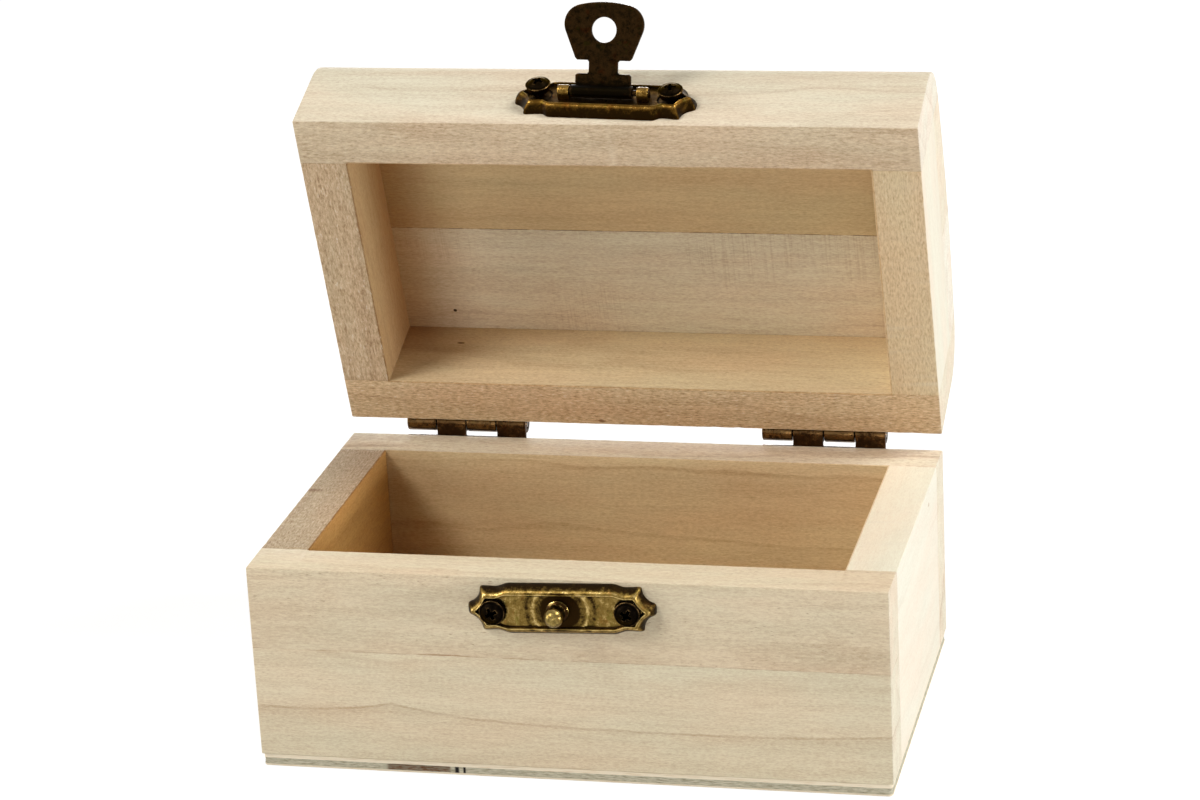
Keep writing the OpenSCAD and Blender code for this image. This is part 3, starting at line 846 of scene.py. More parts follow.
# %% Marks in the wood
def stain(centre, reach, strength):
    """A mark within an ellipsoid round a place, frayed at its edge; all in millimetres."""

    def mark(bench, axes, place):
        away = bench.length(bench.vector("DIVIDE", bench.vector("SUBTRACT", place, centre), reach))
        fray = bench.cloud(place, (1.2, 2.5, 2.5), 3) * 0.8
        return bench.step(away + fray, 1.4, 0.9) * strength

    return mark


def wavy_ring(bench, axes, place):
    """The growth ring of the lower strip, which humps once and rises towards both ends."""
    hump = abs((axes["X"] + 28.0) / 12.0)
    hump = bench.math("EXPONENT", hump * -1.0) * 2.9
    rise = (axes["X"] / 50.0) ** 4.0
    level = hump + rise * 1.2 + 8.5 + bench.cloud(place, (0.2, 0, 0), 2) * 0.5
    below = level - axes["Z"]
    line = near(below, 0.0, 0.28) * bench.cloud(place, (0.08, 0, 0), 2) * 0.65
    shade = bench.step(below, 0.0, 0.3) * bench.step(below, 3.5, 0.3)
    return line + shade * 0.12


def saw_marks(bench, axes, place):
    """Fine marks across the grain, where the back plank of the dome was planed inside."""
    teeth = bench.step(bench.cloud(place, (3.0, 0.06, 0.06), 2), 0.5, 0.62)
    patch = bench.step(bench.cloud(place, (0.05, 0.05, 0.05), 2), 0.45, 0.6)
    under = bench.step(axes["Z"], CEILING / MM + 3.0, CEILING / MM + 1.0)
    return teeth * patch * under * 0.14


inner_back_mm, back_mm, rim_mm, lid_rim_mm = (side / MM for side in (inner_back, BACK, RIM, LID_RIM))
marks = {
    "base_front_upper_strip": [
        stain((16.0, -27.2, 35.4), (6.0, 0.5, 1.0), 0.35),
        stain((38.0, -26.4, 35.4), (11.0, 0.5, 1.0), 0.4),
        stain((-19.5, -30.2, strip_foot / MM), (6.0, 1.0, 0.3), 0.6),
        stain((38.0, -30.2, 22.5), (15.0, 1.5, 3.5), 0.17),
        stain((9.0, -30.2, 21.0), (10.0, 1.5, 2.0), 0.12),
    ],
    "base_front_lower_strip": [wavy_ring],
    "base_left_end": [
        stain((-48.7, 3.1, rim_mm), (2.2, 0.8, 0.4), 0.6),
        stain((-42.0, inner_back_mm, 24.0), (0.6, 0.35, 14.0), 0.5),
    ],
    "base_right_end": [stain((50.0, 13.0, 30.7), (0.5, 0.5, 0.4), 1.0)],
    "lid_back_board": [
        stain((-6.7, back_mm - 0.8, lid_rim_mm), (0.8, 0.4, 0.4), 1.2),
        stain((-32.2, inner_back_mm, lid_rim_mm + 10.7), (0.8, 0.8, 0.25), 1.3),
    ],
    "lid_top_back_plank": [saw_marks, stain((-33.6, 18.4, CEILING / MM), (0.35, 0.35, 0.6), 2.0)],
}
print("boards with marks:", len(marks))

# %% Values of each board
PALE = (0.91, 0.80, 0.60)
BROWN = (0.50, 0.33, 0.19)
# The inside colour: raw wood browner than the faces, with painted shade in it.
RAW_WOOD_AND_SHADE = (0.90, 0.80, 0.68)


def tones(seed, pith, pale=(1, 1, 1), rim=(1, 1, 1), inside=RAW_WOOD_AND_SHADE, rings=0.5, fibres=0.9, pores=0.5, torn=0.8):
    """pale, rim and inside are factors on the stock's colour, for the faces, rims and inside; inside also
    holds painted shade, and pale on the right-hand ends a painted cool light.
    """
    return {
        "Seed": seed,
        "Pith": pith,
        "Ring Width": 9.0,
        "Rings": rings,
        "Pale": (*(part * factor for part, factor in zip(PALE, pale)), 1.0),
        "Brown": (*BROWN, 1.0),
        "Fibres": fibres,
        "Pores": pores,
        "Mottle": 0.8,
        "Torn": torn,
        "Sawn Tint": (*rim, 1.0),
        "Inside Tint And Shade": (*inside, 1.0),
    }


smooth = {"rings": 0.08, "fibres": 0.35, "pores": 0.1}
board_tones = {
    "base_front_upper_strip": tones(
        1.0, (0, -260, 300), pale=(0.94, 0.93, 0.92), rim=(1.12, 1.13, 1.15), pores=0.8, torn=0.15
    ),
    "base_front_lower_strip": tones(2.0, (0, -160, -120), pale=(0.94, 0.95, 0.95), pores=0.35),
    "base_back_board": tones(
        3.0, (0, 120, -90), rim=(1.12, 1.14, 1.22), inside=(0.9, 0.79, 0.62), torn=0.5
    ),
    "base_left_end": tones(
        4.0, (0, -90, -70), rim=(0.7, 0.62, 0.56), inside=(0.78, 0.54, 0.25), torn=1.0
    ),
    # Painted light: this end is painted paler and bluer, standing in for the cool light from the right.
    "base_right_end": tones(
        5.0, (0, 110, 150), pale=(1.02, 1.09, 1.25), rim=(1.12, 1.11, 1.06), torn=0.1, **smooth
    ),
    "lid_front_board": tones(
        6.0, (0, -140, 210), pale=(1.03, 1.06, 1.13), rim=(0.88, 0.81, 0.73), torn=0.6
    ),
    "lid_back_board": tones(
        7.0, (0, 170, 90), rim=(0.86, 0.73, 0.6), inside=(0.98, 0.9, 0.76), rings=0.3, torn=1.1
    ),
    "lid_left_end": tones(
        8.0, (0, -120, 100), rim=(0.79, 0.71, 0.63), inside=(0.68, 0.56, 0.4), torn=1.1
    ),
    # Painted light: this end is painted paler and bluer, standing in for the cool light from the right.
    "lid_right_end": tones(
        9.0, (0, 60, 130), pale=(1.0, 1.06, 1.19), rim=(0.9, 0.77, 0.58), torn=0.7, **smooth
    ),
    "lid_top_front_plank": tones(10.0, (0, -30, 260), inside=(0.84, 0.76, 0.6), rings=0.2),
    "lid_top_back_plank": tones(
        11.0, (0, 220, 190), pale=(1.06, 1.1, 1.18), inside=(1.0, 0.98, 0.94), rings=0.4
    ),
}
seams = {
    "base_front_upper_strip": [("Z", strip_foot, 0.6)],
    "base_front_lower_strip": [("Z", strip_foot, 0.6)],
    "base_left_end": [("Y", inner_front, 0.9), ("Y", inner_back, 0.9)],
    "base_right_end": [("Y", inner_front, 0.4), ("Y", inner_back, 0.6)],
    "lid_left_end": [("Y", inner_front, 0.9), ("Y", inner_back, 0.9)],
    "lid_right_end": [("Y", inner_front, 0.5), ("Y", inner_back, 0.6)],
    "lid_top_front_plank": [("Y", PLANK_SEAM, 1.5), ("Y", inner_front, 0.9)],
    "lid_top_back_plank": [("Y", PLANK_SEAM, 1.5), ("Y", inner_back, 0.9)],
}
print("boards:", len(board_tones))

# %% [markdown]
# Finished pieces are handed over in one way. A piece takes its material and its smooth shading,
# rides on the body of the construction part it stands for, and hides that part.

# %% Hand over a finished piece
SMOOTH_ANGLE = math.radians(40)
visual_pieces = []


def hand_over(piece, node, material):
    pick(piece)
    piece.name = node + "_piece"
    piece.data.materials.clear()
    piece.data.materials.append(material)
    bpy.ops.object.shade_smooth_by_angle(angle=SMOOTH_ANGLE)
    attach(piece, body_of(frame["nodes"][node])[0])
    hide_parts(node)
    visual_pieces.append(piece)


print("pieces get handed over by the name of the part they stand for")

# %% Make the boards
for number, (name, values) in enumerate(board_tones.items()):
    board = make_board(name, number)
    if name.startswith("lid"):
        settle(board, lid_pose)
    material = board_finish(name, values, seams.get(name, ()), marks.get(name, ()))
    hand_over(board, name, material)
print("boards made:", len(visual_pieces))

# %% [markdown]
# ## The plywood bottom
# The bottom is three plies thin: a pale veneer on each side of a darker core whose grain runs
# front to back, so its cut edge is rough and grey-green. The core is drawn back a hair, as it
# crumbles under the saw. At the left of the front edge a piece of it has broken out. That
# leaves a reddish-brown gap with two dark cracks beside it.

# %% Lay up the plywood
panel_low, panel_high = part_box("bottom_panel")
CORNER = 0.7 * MM
CORNER_STEPS, SIDE_STEPS = 8, 60
TOP_VENEER, LOW_VENEER = 0.65 * MM, 0.35 * MM
SOFT_ARRIS = 0.1 * MM
CORE_BACK = 0.06 * MM
PLY_WEAR, PLY_WAVES = 0.05 * MM, 1.3


def arc(centre, radius, start, end, steps):
    """Points of an arc in the plane, with its angles in degrees."""
    angles = [math.radians(start + (end - start) * step / steps) for step in range(steps + 1)]
    return [(centre[0] + radius * math.cos(a), centre[1] + radius * math.sin(a)) for a in angles]


def line_between(start, end, steps):
    """Points from start towards end, without the last one."""
    shares = [step / steps for step in range(steps)]
    return [tuple(a + (b - a) * share for a, b in zip(start, end)) for share in shares]


def rounded_rectangle(half_width, half_depth, radius):
    """Points round a rectangle with round corners, evenly spaced along its sides."""
    corners = []
    for side_x, side_y, start in ((1, 1, 0), (-1, 1, 90), (-1, -1, 180), (1, -1, 270)):
        centre = ((half_width - radius) * side_x, (half_depth - radius) * side_y)
        corners.append(arc(centre, radius, start, start + 90, CORNER_STEPS))
    loop = []
    for corner, following in zip(corners, corners[1:] + corners[:1]):
        loop += corner[:-1] + line_between(corner[-1], following[0], SIDE_STEPS)
    return loop


def ply_ring(inset, height, seed):
    half_width = panel_high.x - inset
    half_depth = panel_high.y - inset
    ring = []
    for x, y in rounded_rectangle(half_width, half_depth, CORNER - inset):
        wave = noise.noise(Vector((x / MM * PLY_WAVES, y / MM * PLY_WAVES, seed)))
        shrink = 1 - PLY_WEAR * (0.5 + 0.5 * wave) / half_depth
        ring.append(Vector((x * shrink, y * shrink, height)))
    return ring


thick = panel_high.z - panel_low.z
ply_section = [
    (SOFT_ARRIS, 0, 1),
    (0, SOFT_ARRIS, 1),
    (0, LOW_VENEER, 2),
    (CORE_BACK, LOW_VENEER, 3),
    (CORE_BACK * 1.5, thick / 2, 4),
    (CORE_BACK, thick - TOP_VENEER, 5),
    (0, thick - TOP_VENEER, 6),
    (0, thick, 6),
]
ply_rings = [ply_ring(inset, panel_low.z + height, seed) for inset, height, seed in ply_section]
panel = draw_skin("bottom_panel", ply_rings)
print("plywood:", len(panel.data.vertices), "points")

# %% Finish of the plywood
VENEER_COLOUR, VENEER_DARK = rgb(248, 236, 212), rgb(224, 203, 170)
CORE_COLOUR, CORE_DARK = rgb(210, 204, 182), rgb(150, 142, 116)
VOID_COLOUR, CRACK_COLOUR = rgb(110, 72, 42), rgb(24, 18, 14)
VOID_FROM, VOID_TO = -29.6, -19.4
CRACKS = [(-18.4, 0.5), (-17.2, 0.3)]
PLY_RELIEF = 0.08 * MM
core_middle = (thick - TOP_VENEER + LOW_VENEER) / 2 / MM
core_half = (thick - TOP_VENEER - LOW_VENEER) / 2 / MM

plywood, bench = new_material("plywood_finish")
place = shut_place(bench, on_lid=False)
axes = bench.axes(place)
core = bench.step(abs(axes["Z"] - core_middle), core_half + 0.04, core_half - 0.04)
ends = bench.cloud(place, (0.7, 0.7, 4.5), 3, 0.6)
core_wood = bench.blend(bench.step(ends, 0.35, 0.75), CORE_COLOUR, CORE_DARK)
fibre = bench.cloud(place, (0.25, 3.0, 6.0), 3, 0.6)
veneer = bench.blend(bench.step(fibre, 0.45, 0.75), VENEER_COLOUR, VENEER_DARK)
sheet = bench.blend(core, veneer, core_wood)

gap = bench.step(axes["X"], VOID_FROM - 0.3, VOID_FROM + 0.4)
gap = gap * bench.step(axes["X"], VOID_TO + 0.2, VOID_TO - 0.3)
at_front = bench.math("LESS_THAN", axes["Y"], 0.0)
gap = gap * at_front * core * bench.step(ends, 0.75, 0.35)
sheet = bench.blend(gap, sheet, VOID_COLOUR)
for crack_x, half_width in CRACKS:
    crack = near(axes["X"], crack_x, half_width) * core * at_front
    sheet = bench.blend(crack, sheet, CRACK_COLOUR)
bench.surface(sheet, 0.7, ends * core - gap * 2.0, PLY_RELIEF, **{"Specular IOR Level": 0.2})
hand_over(panel, "bottom_panel", plywood)
print("plywood finish:", len(plywood.node_tree.nodes), "nodes")

# %% [markdown]
# ## Antiqued metal
# The fittings are brass-plated steel, darkened in a bath and rubbed back, so that the high
# edges are bright gold and the hollows stay nearly black. Where the rubbing reached is a matter
# of form, so it is measured on each mesh: a point whose faces fall away is an edge and gets
# more rub, and a point in a hollow gets less. The measure is kept as an attribute of the mesh,
# which the patina group reads as a mask, and blotches of the bath cover the rest. The same
# attribute also carries a painted shade on the flap's barrel and a painted highlight on the
# knob's collar. The black on the screws is a film, which stays brown when seen at a slant, so
# their edge colour is tinted.

# %% Measure where a piece is rubbed
RUB_FREE, RUB_FULL = math.radians(12), math.radians(42)


def mark_rub(piece, wear=lambda spot, facing: 0):
    """Writes 0 for a hollow, 0.5 for a flat place and 1 for a sharp edge to each point.

    wear adds what use has done there, from the place and the direction it faces; on the flap's barrel it
    adds a painted shade, and on the knob's collar a painted highlight.
    """
    clear_desk()
    mesh = bmesh.new()
    mesh.from_mesh(piece.data)
    mesh.normal_update()
    mesh.verts.index_update()
    sharp_rubs = []
    for vert in mesh.verts:
        angles = [edge.calc_face_angle_signed(0) for edge in vert.link_edges if edge.is_manifold]
        bend = max(angles, default=0) + min(angles, default=0)
        sharp = max(0, abs(bend) - RUB_FREE) / (RUB_FULL - RUB_FREE)
        rub = 0.5 + math.copysign(0.5 * min(1, sharp), bend)
        sharp_rubs.append(rub + wear(vert.co, vert.normal))
    rubs = []
    for vert in mesh.verts:
        around = sum(sharp_rubs[edge.other_vert(vert).index] for edge in vert.link_edges)
        rubs.append(0.5 * sharp_rubs[vert.index] + 0.5 * around / max(len(vert.link_edges), 1))
    mesh.free()
    attribute = piece.data.attributes.new("rub", "FLOAT", "POINT")
    attribute.data.foreach_set("value", rubs)


print("a bend of", round(math.degrees(RUB_FULL)), "degrees counts as a sharp edge")

# %% The patina group
PATINA_INPUTS = {
    "Place": "Vector",
    "Rub": "Float",
    "Lumps": "Float",
    "Dark": "Color",
    "Middle": "Color",
    "Bright": "Color",
    "Worn": "Float",
    "Stain": "Float",
}
GREEN_STAIN, RED_STAIN = (0.72, 1.0, 0.62, 1), (1.0, 0.62, 0.5, 1)
METAL_RELIEF = 0.03 * MM

patina, bench, taken, given = new_group("patina", PATINA_INPUTS, GROUP_OUTPUTS)
place = bench.wire("VectorMath", {0: taken["Place"], "Scale": taken["Lumps"]}, operation="SCALE")
blotch = bench.cloud(place, (1.1, 1.1, 1.1), 4, 0.62)
grain = bench.cloud(place, (7.0, 7.0, 7.0), 3, 0.6)
level = taken["Rub"] + (blotch * 0.55 + grain * 0.45 - 0.5) * 1.7 + taken["Worn"]
color = bench.blend(bench.step(level, 0.22, 0.62), taken["Dark"], taken["Middle"])
color = bench.blend(bench.step(level, 0.62, 0.92), color, taken["Bright"])
spots = bench.step(bench.cloud(place, (0.7, 0.7, 0.7), 2), 0.55, 0.7) * taken["Stain"]
side = bench.step(bench.cloud(place, (0.45, 0.45, 0.45), 1), 0.46, 0.54)
stained = bench.blend(side, bench.tint(color, GREEN_STAIN), bench.tint(color, RED_STAIN))
rough = 0.42 - bench.step(level, 0.45, 0.9) * 0.2 + (grain - 0.5) * 0.25
give(given, Color=bench.blend(spots, color, stained), Height=grain + blotch * 1.2, Roughness=rough)
print("patina group:", len(patina.nodes), "nodes")

# %% Metals of this box
def metal_finish(
    name, dark, middle, bright, worn=0.0, stain=0.3, lumps=1.0, polish=0.0, on_lid=False, edge=WHITE
):
    """dark, middle and bright are screen colours, and edge tints what is seen at a slant."""
    material, bench = new_material(name)
    inputs = {
        "Place": shut_place(bench, on_lid),
        "Rub": bench.wire("Attribute", output="Fac", attribute_name="rub"),
        "Lumps": lumps,
        "Dark": rgb(*dark),
        "Middle": rgb(*middle),
        "Bright": rgb(*bright),
        "Worn": worn,
        "Stain": stain,
    }
    group = bench.node("Group", inputs, node_tree=patina).outputs
    color, height, rough = (Wire(bench, group[socket]) for socket in GROUP_OUTPUTS)
    more = {"Metallic": 1.0, "Specular Tint": edge}
    bench.surface(color, rough - polish, height, METAL_RELIEF, strength=0.6, **more)
    return material


BROWNED = (0.72, 0.6, 0.44, 1)
keeper_brass = metal_finish(
    "keeper_brass", (36, 23, 7), (120, 97, 47), (191, 165, 106), stain=0.35, lumps=1.2
)
knob_brass = metal_finish(
    "knob_brass", (42, 26, 10), (134, 114, 62), (212, 188, 128), lumps=1.8, polish=0.22
)
hasp_brass = metal_finish(
    "hasp_brass", (30, 18, 4), (80, 56, 18), (134, 104, 50), stain=0.5, on_lid=True
)
hinge_bronze = metal_finish(
    "hinge_bronze", (17, 10, 5), (44, 27, 13), (96, 70, 40), worn=-0.07, stain=0.25
)
hinge_bronze_lid = metal_finish(
    "hinge_bronze_lid", (17, 10, 5), (48, 30, 14), (112, 84, 50), worn=-0.06, stain=0.25, on_lid=True
)
flap_bronze = metal_finish(
    "flap_bronze", (12, 8, 3), (41, 27, 11), (64, 45, 22), worn=-0.04, stain=0.9, on_lid=True
)
screw_black = metal_finish("screw_black", (4, 3, 2), (15, 10, 6), (84, 64, 38), stain=0.1, edge=BROWNED)
screw_black_lid = metal_finish(
    "screw_black_lid", (6, 4, 2), (20, 13, 6), (100, 76, 44), worn=-0.06, stain=0.1, on_lid=True,
    edge=BROWNED,
)
print("metals:", [material.name for material in bpy.data.materials if "finish" not in material.name])

# %% [markdown]
# ## The screws
# Pan-head screws with a low dome and a cross recess hold every fitting, two sizes of them. A
# screw is a turned piece, so it is drawn as rings from its point up to the crown of the head. The
# thread is left as plain ridges, since it sits in the wood. The recess is cut by a boolean with a
# small tapered cross. Each size is modelled once, and every further screw is a copy with its own
# mesh.

# %% Turned pieces
def turned(name, section, steps=48):
    """A piece turned on the local Z axis, from (radius, height) pairs in millimetres."""
    rings = []
    for radius, height in section:
        ring = []
        for step in range(steps):
            angle = 2 * math.pi * step / steps
            ring.append(Vector((radius * math.cos(angle), radius * math.sin(angle), height)) * MM)
        rings.append(ring)
    return draw_skin(name, rings)


print("a turned piece is a skin drawn through circles")

# %% Cut the screws
HEAD_R, HEAD_H, SCREW_L = 2.0, 1.9, 7.2
HINGE_HEAD_R, HINGE_HEAD_H, HINGE_SCREW_L = 1.7, 0.75, 6.0
SHANK_R = 0.9
THREAD_PITCH, THREAD_DEPTH = 0.8, 0.18
CROSS_WIDTH, CROSS_REACH, CROSS_DEPTH, CROSS_TAPER = 0.72, 0.62, 0.7, 0.55
HEAD_EASING = 0.04 * MM


def screw_section(head_r, head_h, length):
    section = [(0.05, -length), (0.35, 0.4 - length)]
    height = SHANK_R * 2 - length
    while height < -THREAD_PITCH:
        section += [(SHANK_R - THREAD_DEPTH, height), (SHANK_R, height + THREAD_PITCH / 2)]
        height += THREAD_PITCH
    crown_r, edge_h = head_r * 0.84, head_h * 0.66
    section += [(SHANK_R, -0.05), (SHANK_R, 0), (head_r - 0.36, 0), (head_r - 0.28, 0.05)]
    section += [(head_r - 0.03, edge_h - 0.2), (head_r, edge_h - 0.1), (head_r - 0.06, edge_h - 0.02)]
    section += [(head_r - 0.14, edge_h), (crown_r + 0.1, edge_h + 0.03)]
    rise = head_h - edge_h - 0.03
    dome_r = (crown_r**2 + rise**2) / (2 * rise)
    reach = math.degrees(math.asin(crown_r / dome_r))
    return section + arc((0, head_h - dome_r), dome_r, 90 - reach, 88, 8)


def cross_cutter(head_r, head_h):
    """Two tapered bars laid crosswise; they stand in the head and out above it."""
    clear_desk()
    bpy.ops.mesh.primitive_cube_add(size=MM, location=(0, 0, head_h * MM))
    cutter = bpy.context.object
    mesh = edit(cutter, "FACE")
    for vert in mesh.verts:
        narrow = CROSS_TAPER if vert.co.z < 0 else 1.0
        vert.co.x *= 2 * head_r * CROSS_REACH * narrow
        vert.co.y *= CROSS_WIDTH * narrow
        vert.co.z = MM if vert.co.z > 0 else -head_h * CROSS_DEPTH * MM
    bmesh.update_edit_mesh(cutter.data)
    bpy.ops.mesh.select_all(action="SELECT")
    bpy.ops.mesh.duplicate()
    centre = (0, 0, head_h * MM)
    bpy.ops.transform.rotate(value=math.pi / 2, orient_axis="Z", center_override=centre)
    clear_desk()
    return cutter


def model_screw(name, head_r, head_h, length):
    screw = turned(name, screw_section(head_r, head_h, length))
    cutter = cross_cutter(head_r, head_h)
    apply_modifier(screw, "BOOLEAN", object=cutter, operation="DIFFERENCE", solver="EXACT", use_self=True)
    bpy.data.objects.remove(cutter)
    apply_modifier(screw, "BEVEL", width=HEAD_EASING, segments=2, angle_limit=math.radians(40))
    mark_rub(screw)
    return screw


print("screw heads, mm:", 2 * HEAD_R, "and", 2 * HINGE_HEAD_R)

# %% [markdown]
# ## The stamped plates
# Keeper and hasp sit on the same kind of stamped plate: a long body with four ears, round
# notches and scooped ends that run out to a blunt tip. Only the shoulders differ: those of the
# keeper slant down to the ears, and those of the hasp drop in a soft step. The skirt curves up
# from the wood to a rolled lip, inside which the face is sunk, and behind it is hollow. Both
# plates have a frame of their own, X along the plate, Y up and Z away from the wood, in which
# they are modelled flat.

# %% Frames of the two plates and of the hinges
QUARTER_UP = Matrix.Rotation(math.pi / 2, 4, "X")
ALONG_X = Matrix.Rotation(math.pi / 2, 4, "Y")
KEEPER_TURN = math.radians(1.7)
PLATE_LIFTED = 0.35 * MM

knob_low, knob_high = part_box("keeper_knob")
keeper_low, keeper_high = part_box("keeper_plate")
keeper_spot = Matrix.Translation((0, FRONT, (keeper_low.z + keeper_high.z) / 2))
keeper_frame = keeper_spot @ QUARTER_UP @ Matrix.Rotation(KEEPER_TURN, 4, "Z")

hasp_turn = math.acos(abs(joints["hasp_swing"]["axis"][0]))
pin_spot = lid_pose.inverted() @ Vector(joints["hasp_swing"]["pos_m"])
PIN_OUT = (FRONT - pin_spot.y) / MM
hasp_frame = (
    lid_pose
    @ Matrix.Translation((0, FRONT, pin_spot.z))
    @ QUARTER_UP
    @ Matrix.Rotation(-hasp_turn, 4, "Z")
)
plate_frame = hasp_frame @ Matrix.Translation((0, PLATE_LIFTED, 0))
pin_frame = hasp_frame @ Matrix.Translation((0, 0, PIN_OUT * MM))

hinge_low, hinge_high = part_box("right_hinge_pin")
HINGE_WIDTH = (hinge_high.x - hinge_low.x) / MM
hinge_x = (hinge_low.x + hinge_high.x) / 2


def hinge_frame(side, on_lid):
    place = Matrix.Translation((side * hinge_x, hinge_line.y, hinge_line.z))
    return lid_pose @ place if on_lid else place


print("hasp turned by", round(math.degrees(hasp_turn), 2), "degrees, its pin", round(PIN_OUT, 2), "mm out")

# %% Outline of a plate, drawn in by any amount
PLATE_LENGTH, PLATE_WIDTH = 29.3, 8.1
EAR_HALF_WIDTH, EAR_END = 3.6, 12.6
KEEPER_SLOPE, HASP_SLOPE = (8.3, 9.9, 0.12), (8.6, 9.5, 0.34)
SCOOP_R, TIP_HALF = 2.4, 0.9
SCOOP_X = EAR_END + SCOOP_R
SCOOP_Y = TIP_HALF + math.sqrt(SCOOP_R**2 - (SCOOP_X - PLATE_LENGTH / 2) ** 2)
SOFTENING = 0.42
TOP_STEPS, SLOPE_STEPS, EAR_STEPS, SCOOP_STEPS, TIP_STEPS = 36, 10, 7, 14, 4


def leg(long_side, short_side):
    return math.sqrt(max(long_side**2 - short_side**2, 0))


def arc_between(centre, start, end, steps):
    """Points of an arc round a centre from start to end, without the last one."""
    first = math.atan2(start[1] - centre[1], start[0] - centre[0])
    last = math.atan2(end[1] - centre[1], end[0] - centre[0])
    turn = (last - first + math.pi) % (2 * math.pi) - math.pi
    radius, first, turn = math.dist(centre, start), math.degrees(first), math.degrees(turn)
    return arc(centre, radius, first, first + turn, steps)[:-1]


def plate_quarter(inset, slope):
    """A quarter of the outline, from the middle of the long side round to the tip.

    slope is where the body's side ends, where the dip before the ear is, and how deep it is.
    """
    top, ear_top = PLATE_WIDTH / 2 - inset, EAR_HALF_WIDTH - inset
    scoop_r = SCOOP_R + inset
    body_end, dip = (slope[0], top), (slope[1], ear_top - slope[2])
    ear_out = (SCOOP_X - leg(scoop_r, ear_top - SCOOP_Y), ear_top)
    tip_x = PLATE_LENGTH / 2 - inset
    tip_y = SCOOP_Y - leg(scoop_r, SCOOP_X - tip_x)
    if tip_y < 0:
        tip_x, tip_y = SCOOP_X - leg(scoop_r, SCOOP_Y), 0
    return (
        line_between((0, top), body_end, TOP_STEPS)
        + line_between(body_end, dip, SLOPE_STEPS)
        + line_between(dip, ear_out, EAR_STEPS)
        + arc_between((SCOOP_X, SCOOP_Y), ear_out, (tip_x, tip_y), SCOOP_STEPS)
        + line_between((tip_x, tip_y), (tip_x, 0), TIP_STEPS)
        + [(tip_x, 0)]
    )


def softened(outline):
    """The outline as stiff sheet takes it: each point goes to the mean of its surroundings."""
    points = np.array(outline)
    gaps = np.linalg.norm(np.roll(points, -1, 0) - points, axis=1)
    along = np.cumsum(gaps) - gaps
    apart = np.abs(along[:, None] - along[None, :])
    apart = np.minimum(apart, gaps.sum() - apart)
    share = np.exp(-((apart / SOFTENING) ** 2)) * (gaps + np.roll(gaps, 1))
    soft = share @ points / share.sum(axis=1, keepdims=True)
    return soft * np.abs(points).max(axis=0) / np.abs(soft).max(axis=0)


def plate_outline(inset, slope):
    quarter = plate_quarter(inset, slope)
    right_low = [(x, -y) for x, y in reversed(quarter[:-1])]
    left_low = [(-x, -y) for x, y in quarter[1:]]
    left_high = [(-x, y) for x, y in reversed(quarter[1:-1])]
    outline = softened(quarter + right_low + left_low + left_high)
    return [(float(x), float(y)) for x, y in outline]


print("plate", PLATE_LENGTH, "x", PLATE_WIDTH, "mm,", len(plate_outline(0, KEEPER_SLOPE)), "points round")

# %% Draw the plate as one closed skin
SUNK, FACE, FLOOR_INSET = 1.2, 1.4, 1.64
SKIRT = [(0, 0.0), (0.0, 0.2), (0.06, 0.5), (0.16, 0.8), (0.30, 1.1), (0.48, 1.38), (0.64, 1.58)]
SKIRT += [(0.76, 1.71), (0.86, 1.8), (0.98, 1.88), (1.12, 1.95), (1.24, 2.0), (1.32, 1.98)]
SKIRT += [(1.38, 1.86), (1.41, 1.62), (1.46, 1.46), (1.54, 1.4), (FLOOR_INSET, FACE)]
BACK_FACE = [(FLOOR_INSET, 0.9), (1.4, 0.9), (0.75, 0.62), (0.5, 0.0)]
FLOOR_STEPS = 12
SCREW_X, SEAT_R = 10.5, 1.95
FACE_WEAR, INNER_WEAR, FOOT_WEAR, WEAR_PER_MM = 0.1, -0.15, -0.5, 0.2
LIP_WEAR, LIP_RUBBED_AT, LIP_WIDTH = 0.42, 1.76, 0.13


def narrowed(outline, share):
    return [(x, y * share) for x, y in outline]


def plate_rings(floor_height, slope):
    floor = plate_outline(FLOOR_INSET, slope)
    shares = [step / FLOOR_STEPS for step in range(FLOOR_STEPS)]
    back = [(narrowed(floor, share), BACK_FACE[0][1]) for share in shares]
    rim = [(plate_outline(inset, slope), height) for inset, height in BACK_FACE + SKIRT]
    face = [(narrowed(floor, 1 - (step + 1) / FLOOR_STEPS), FACE) for step in range(FLOOR_STEPS)]
    skirt_from = len(back) + len(BACK_FACE)
    face_from = skirt_from + len(SKIRT) - 1
    rings = []
    for number, (outline, height) in enumerate(back + rim + face):
        ring = []
        for x, y in outline:
            z = height + floor_height(x, y) if number >= face_from else height
            near_screw = math.dist((abs(x), y), (SCREW_X, 0)) < SEAT_R
            if near_screw and number > skirt_from:
                z = min(z, SUNK)
            ring.append(Vector((x, y, z)) * MM)
        rings.append(ring)
    return rings


def bell(distance, width):
    return math.exp(-((distance / width) ** 2))


def plate_wear(spot, facing):
    """The skirt is dark low down and rubbed bright at its shoulder, the face is brushed."""
    if facing.z > 0.97:
        return FACE_WEAR
    if facing.xy.dot(spot.xy) < 0:
        return INNER_WEAR
    height = spot.z / MM
    return WEAR_PER_MM * height + FOOT_WEAR + LIP_WEAR * bell(height - LIP_RUBBED_AT, LIP_WIDTH)


def model_plate(name, floor_height, slope, wear=plate_wear):
    plate = draw_skin(name, plate_rings(floor_height, slope), first_closed=False, last_closed=False)
    mark_rub(plate, wear)
    return plate


print("rings in a plate:", 2 * FLOOR_STEPS + len(BACK_FACE) + len(SKIRT))

# %% [markdown]
# The keeper plate carries the knob. Its sunk face is stamped with two low rings round the knob,
# and is otherwise as uneven as stamped sheet is. The knob is turned: a short wide collar on the
# plate, a thick stem and a ball, and its tail is riveted over behind.

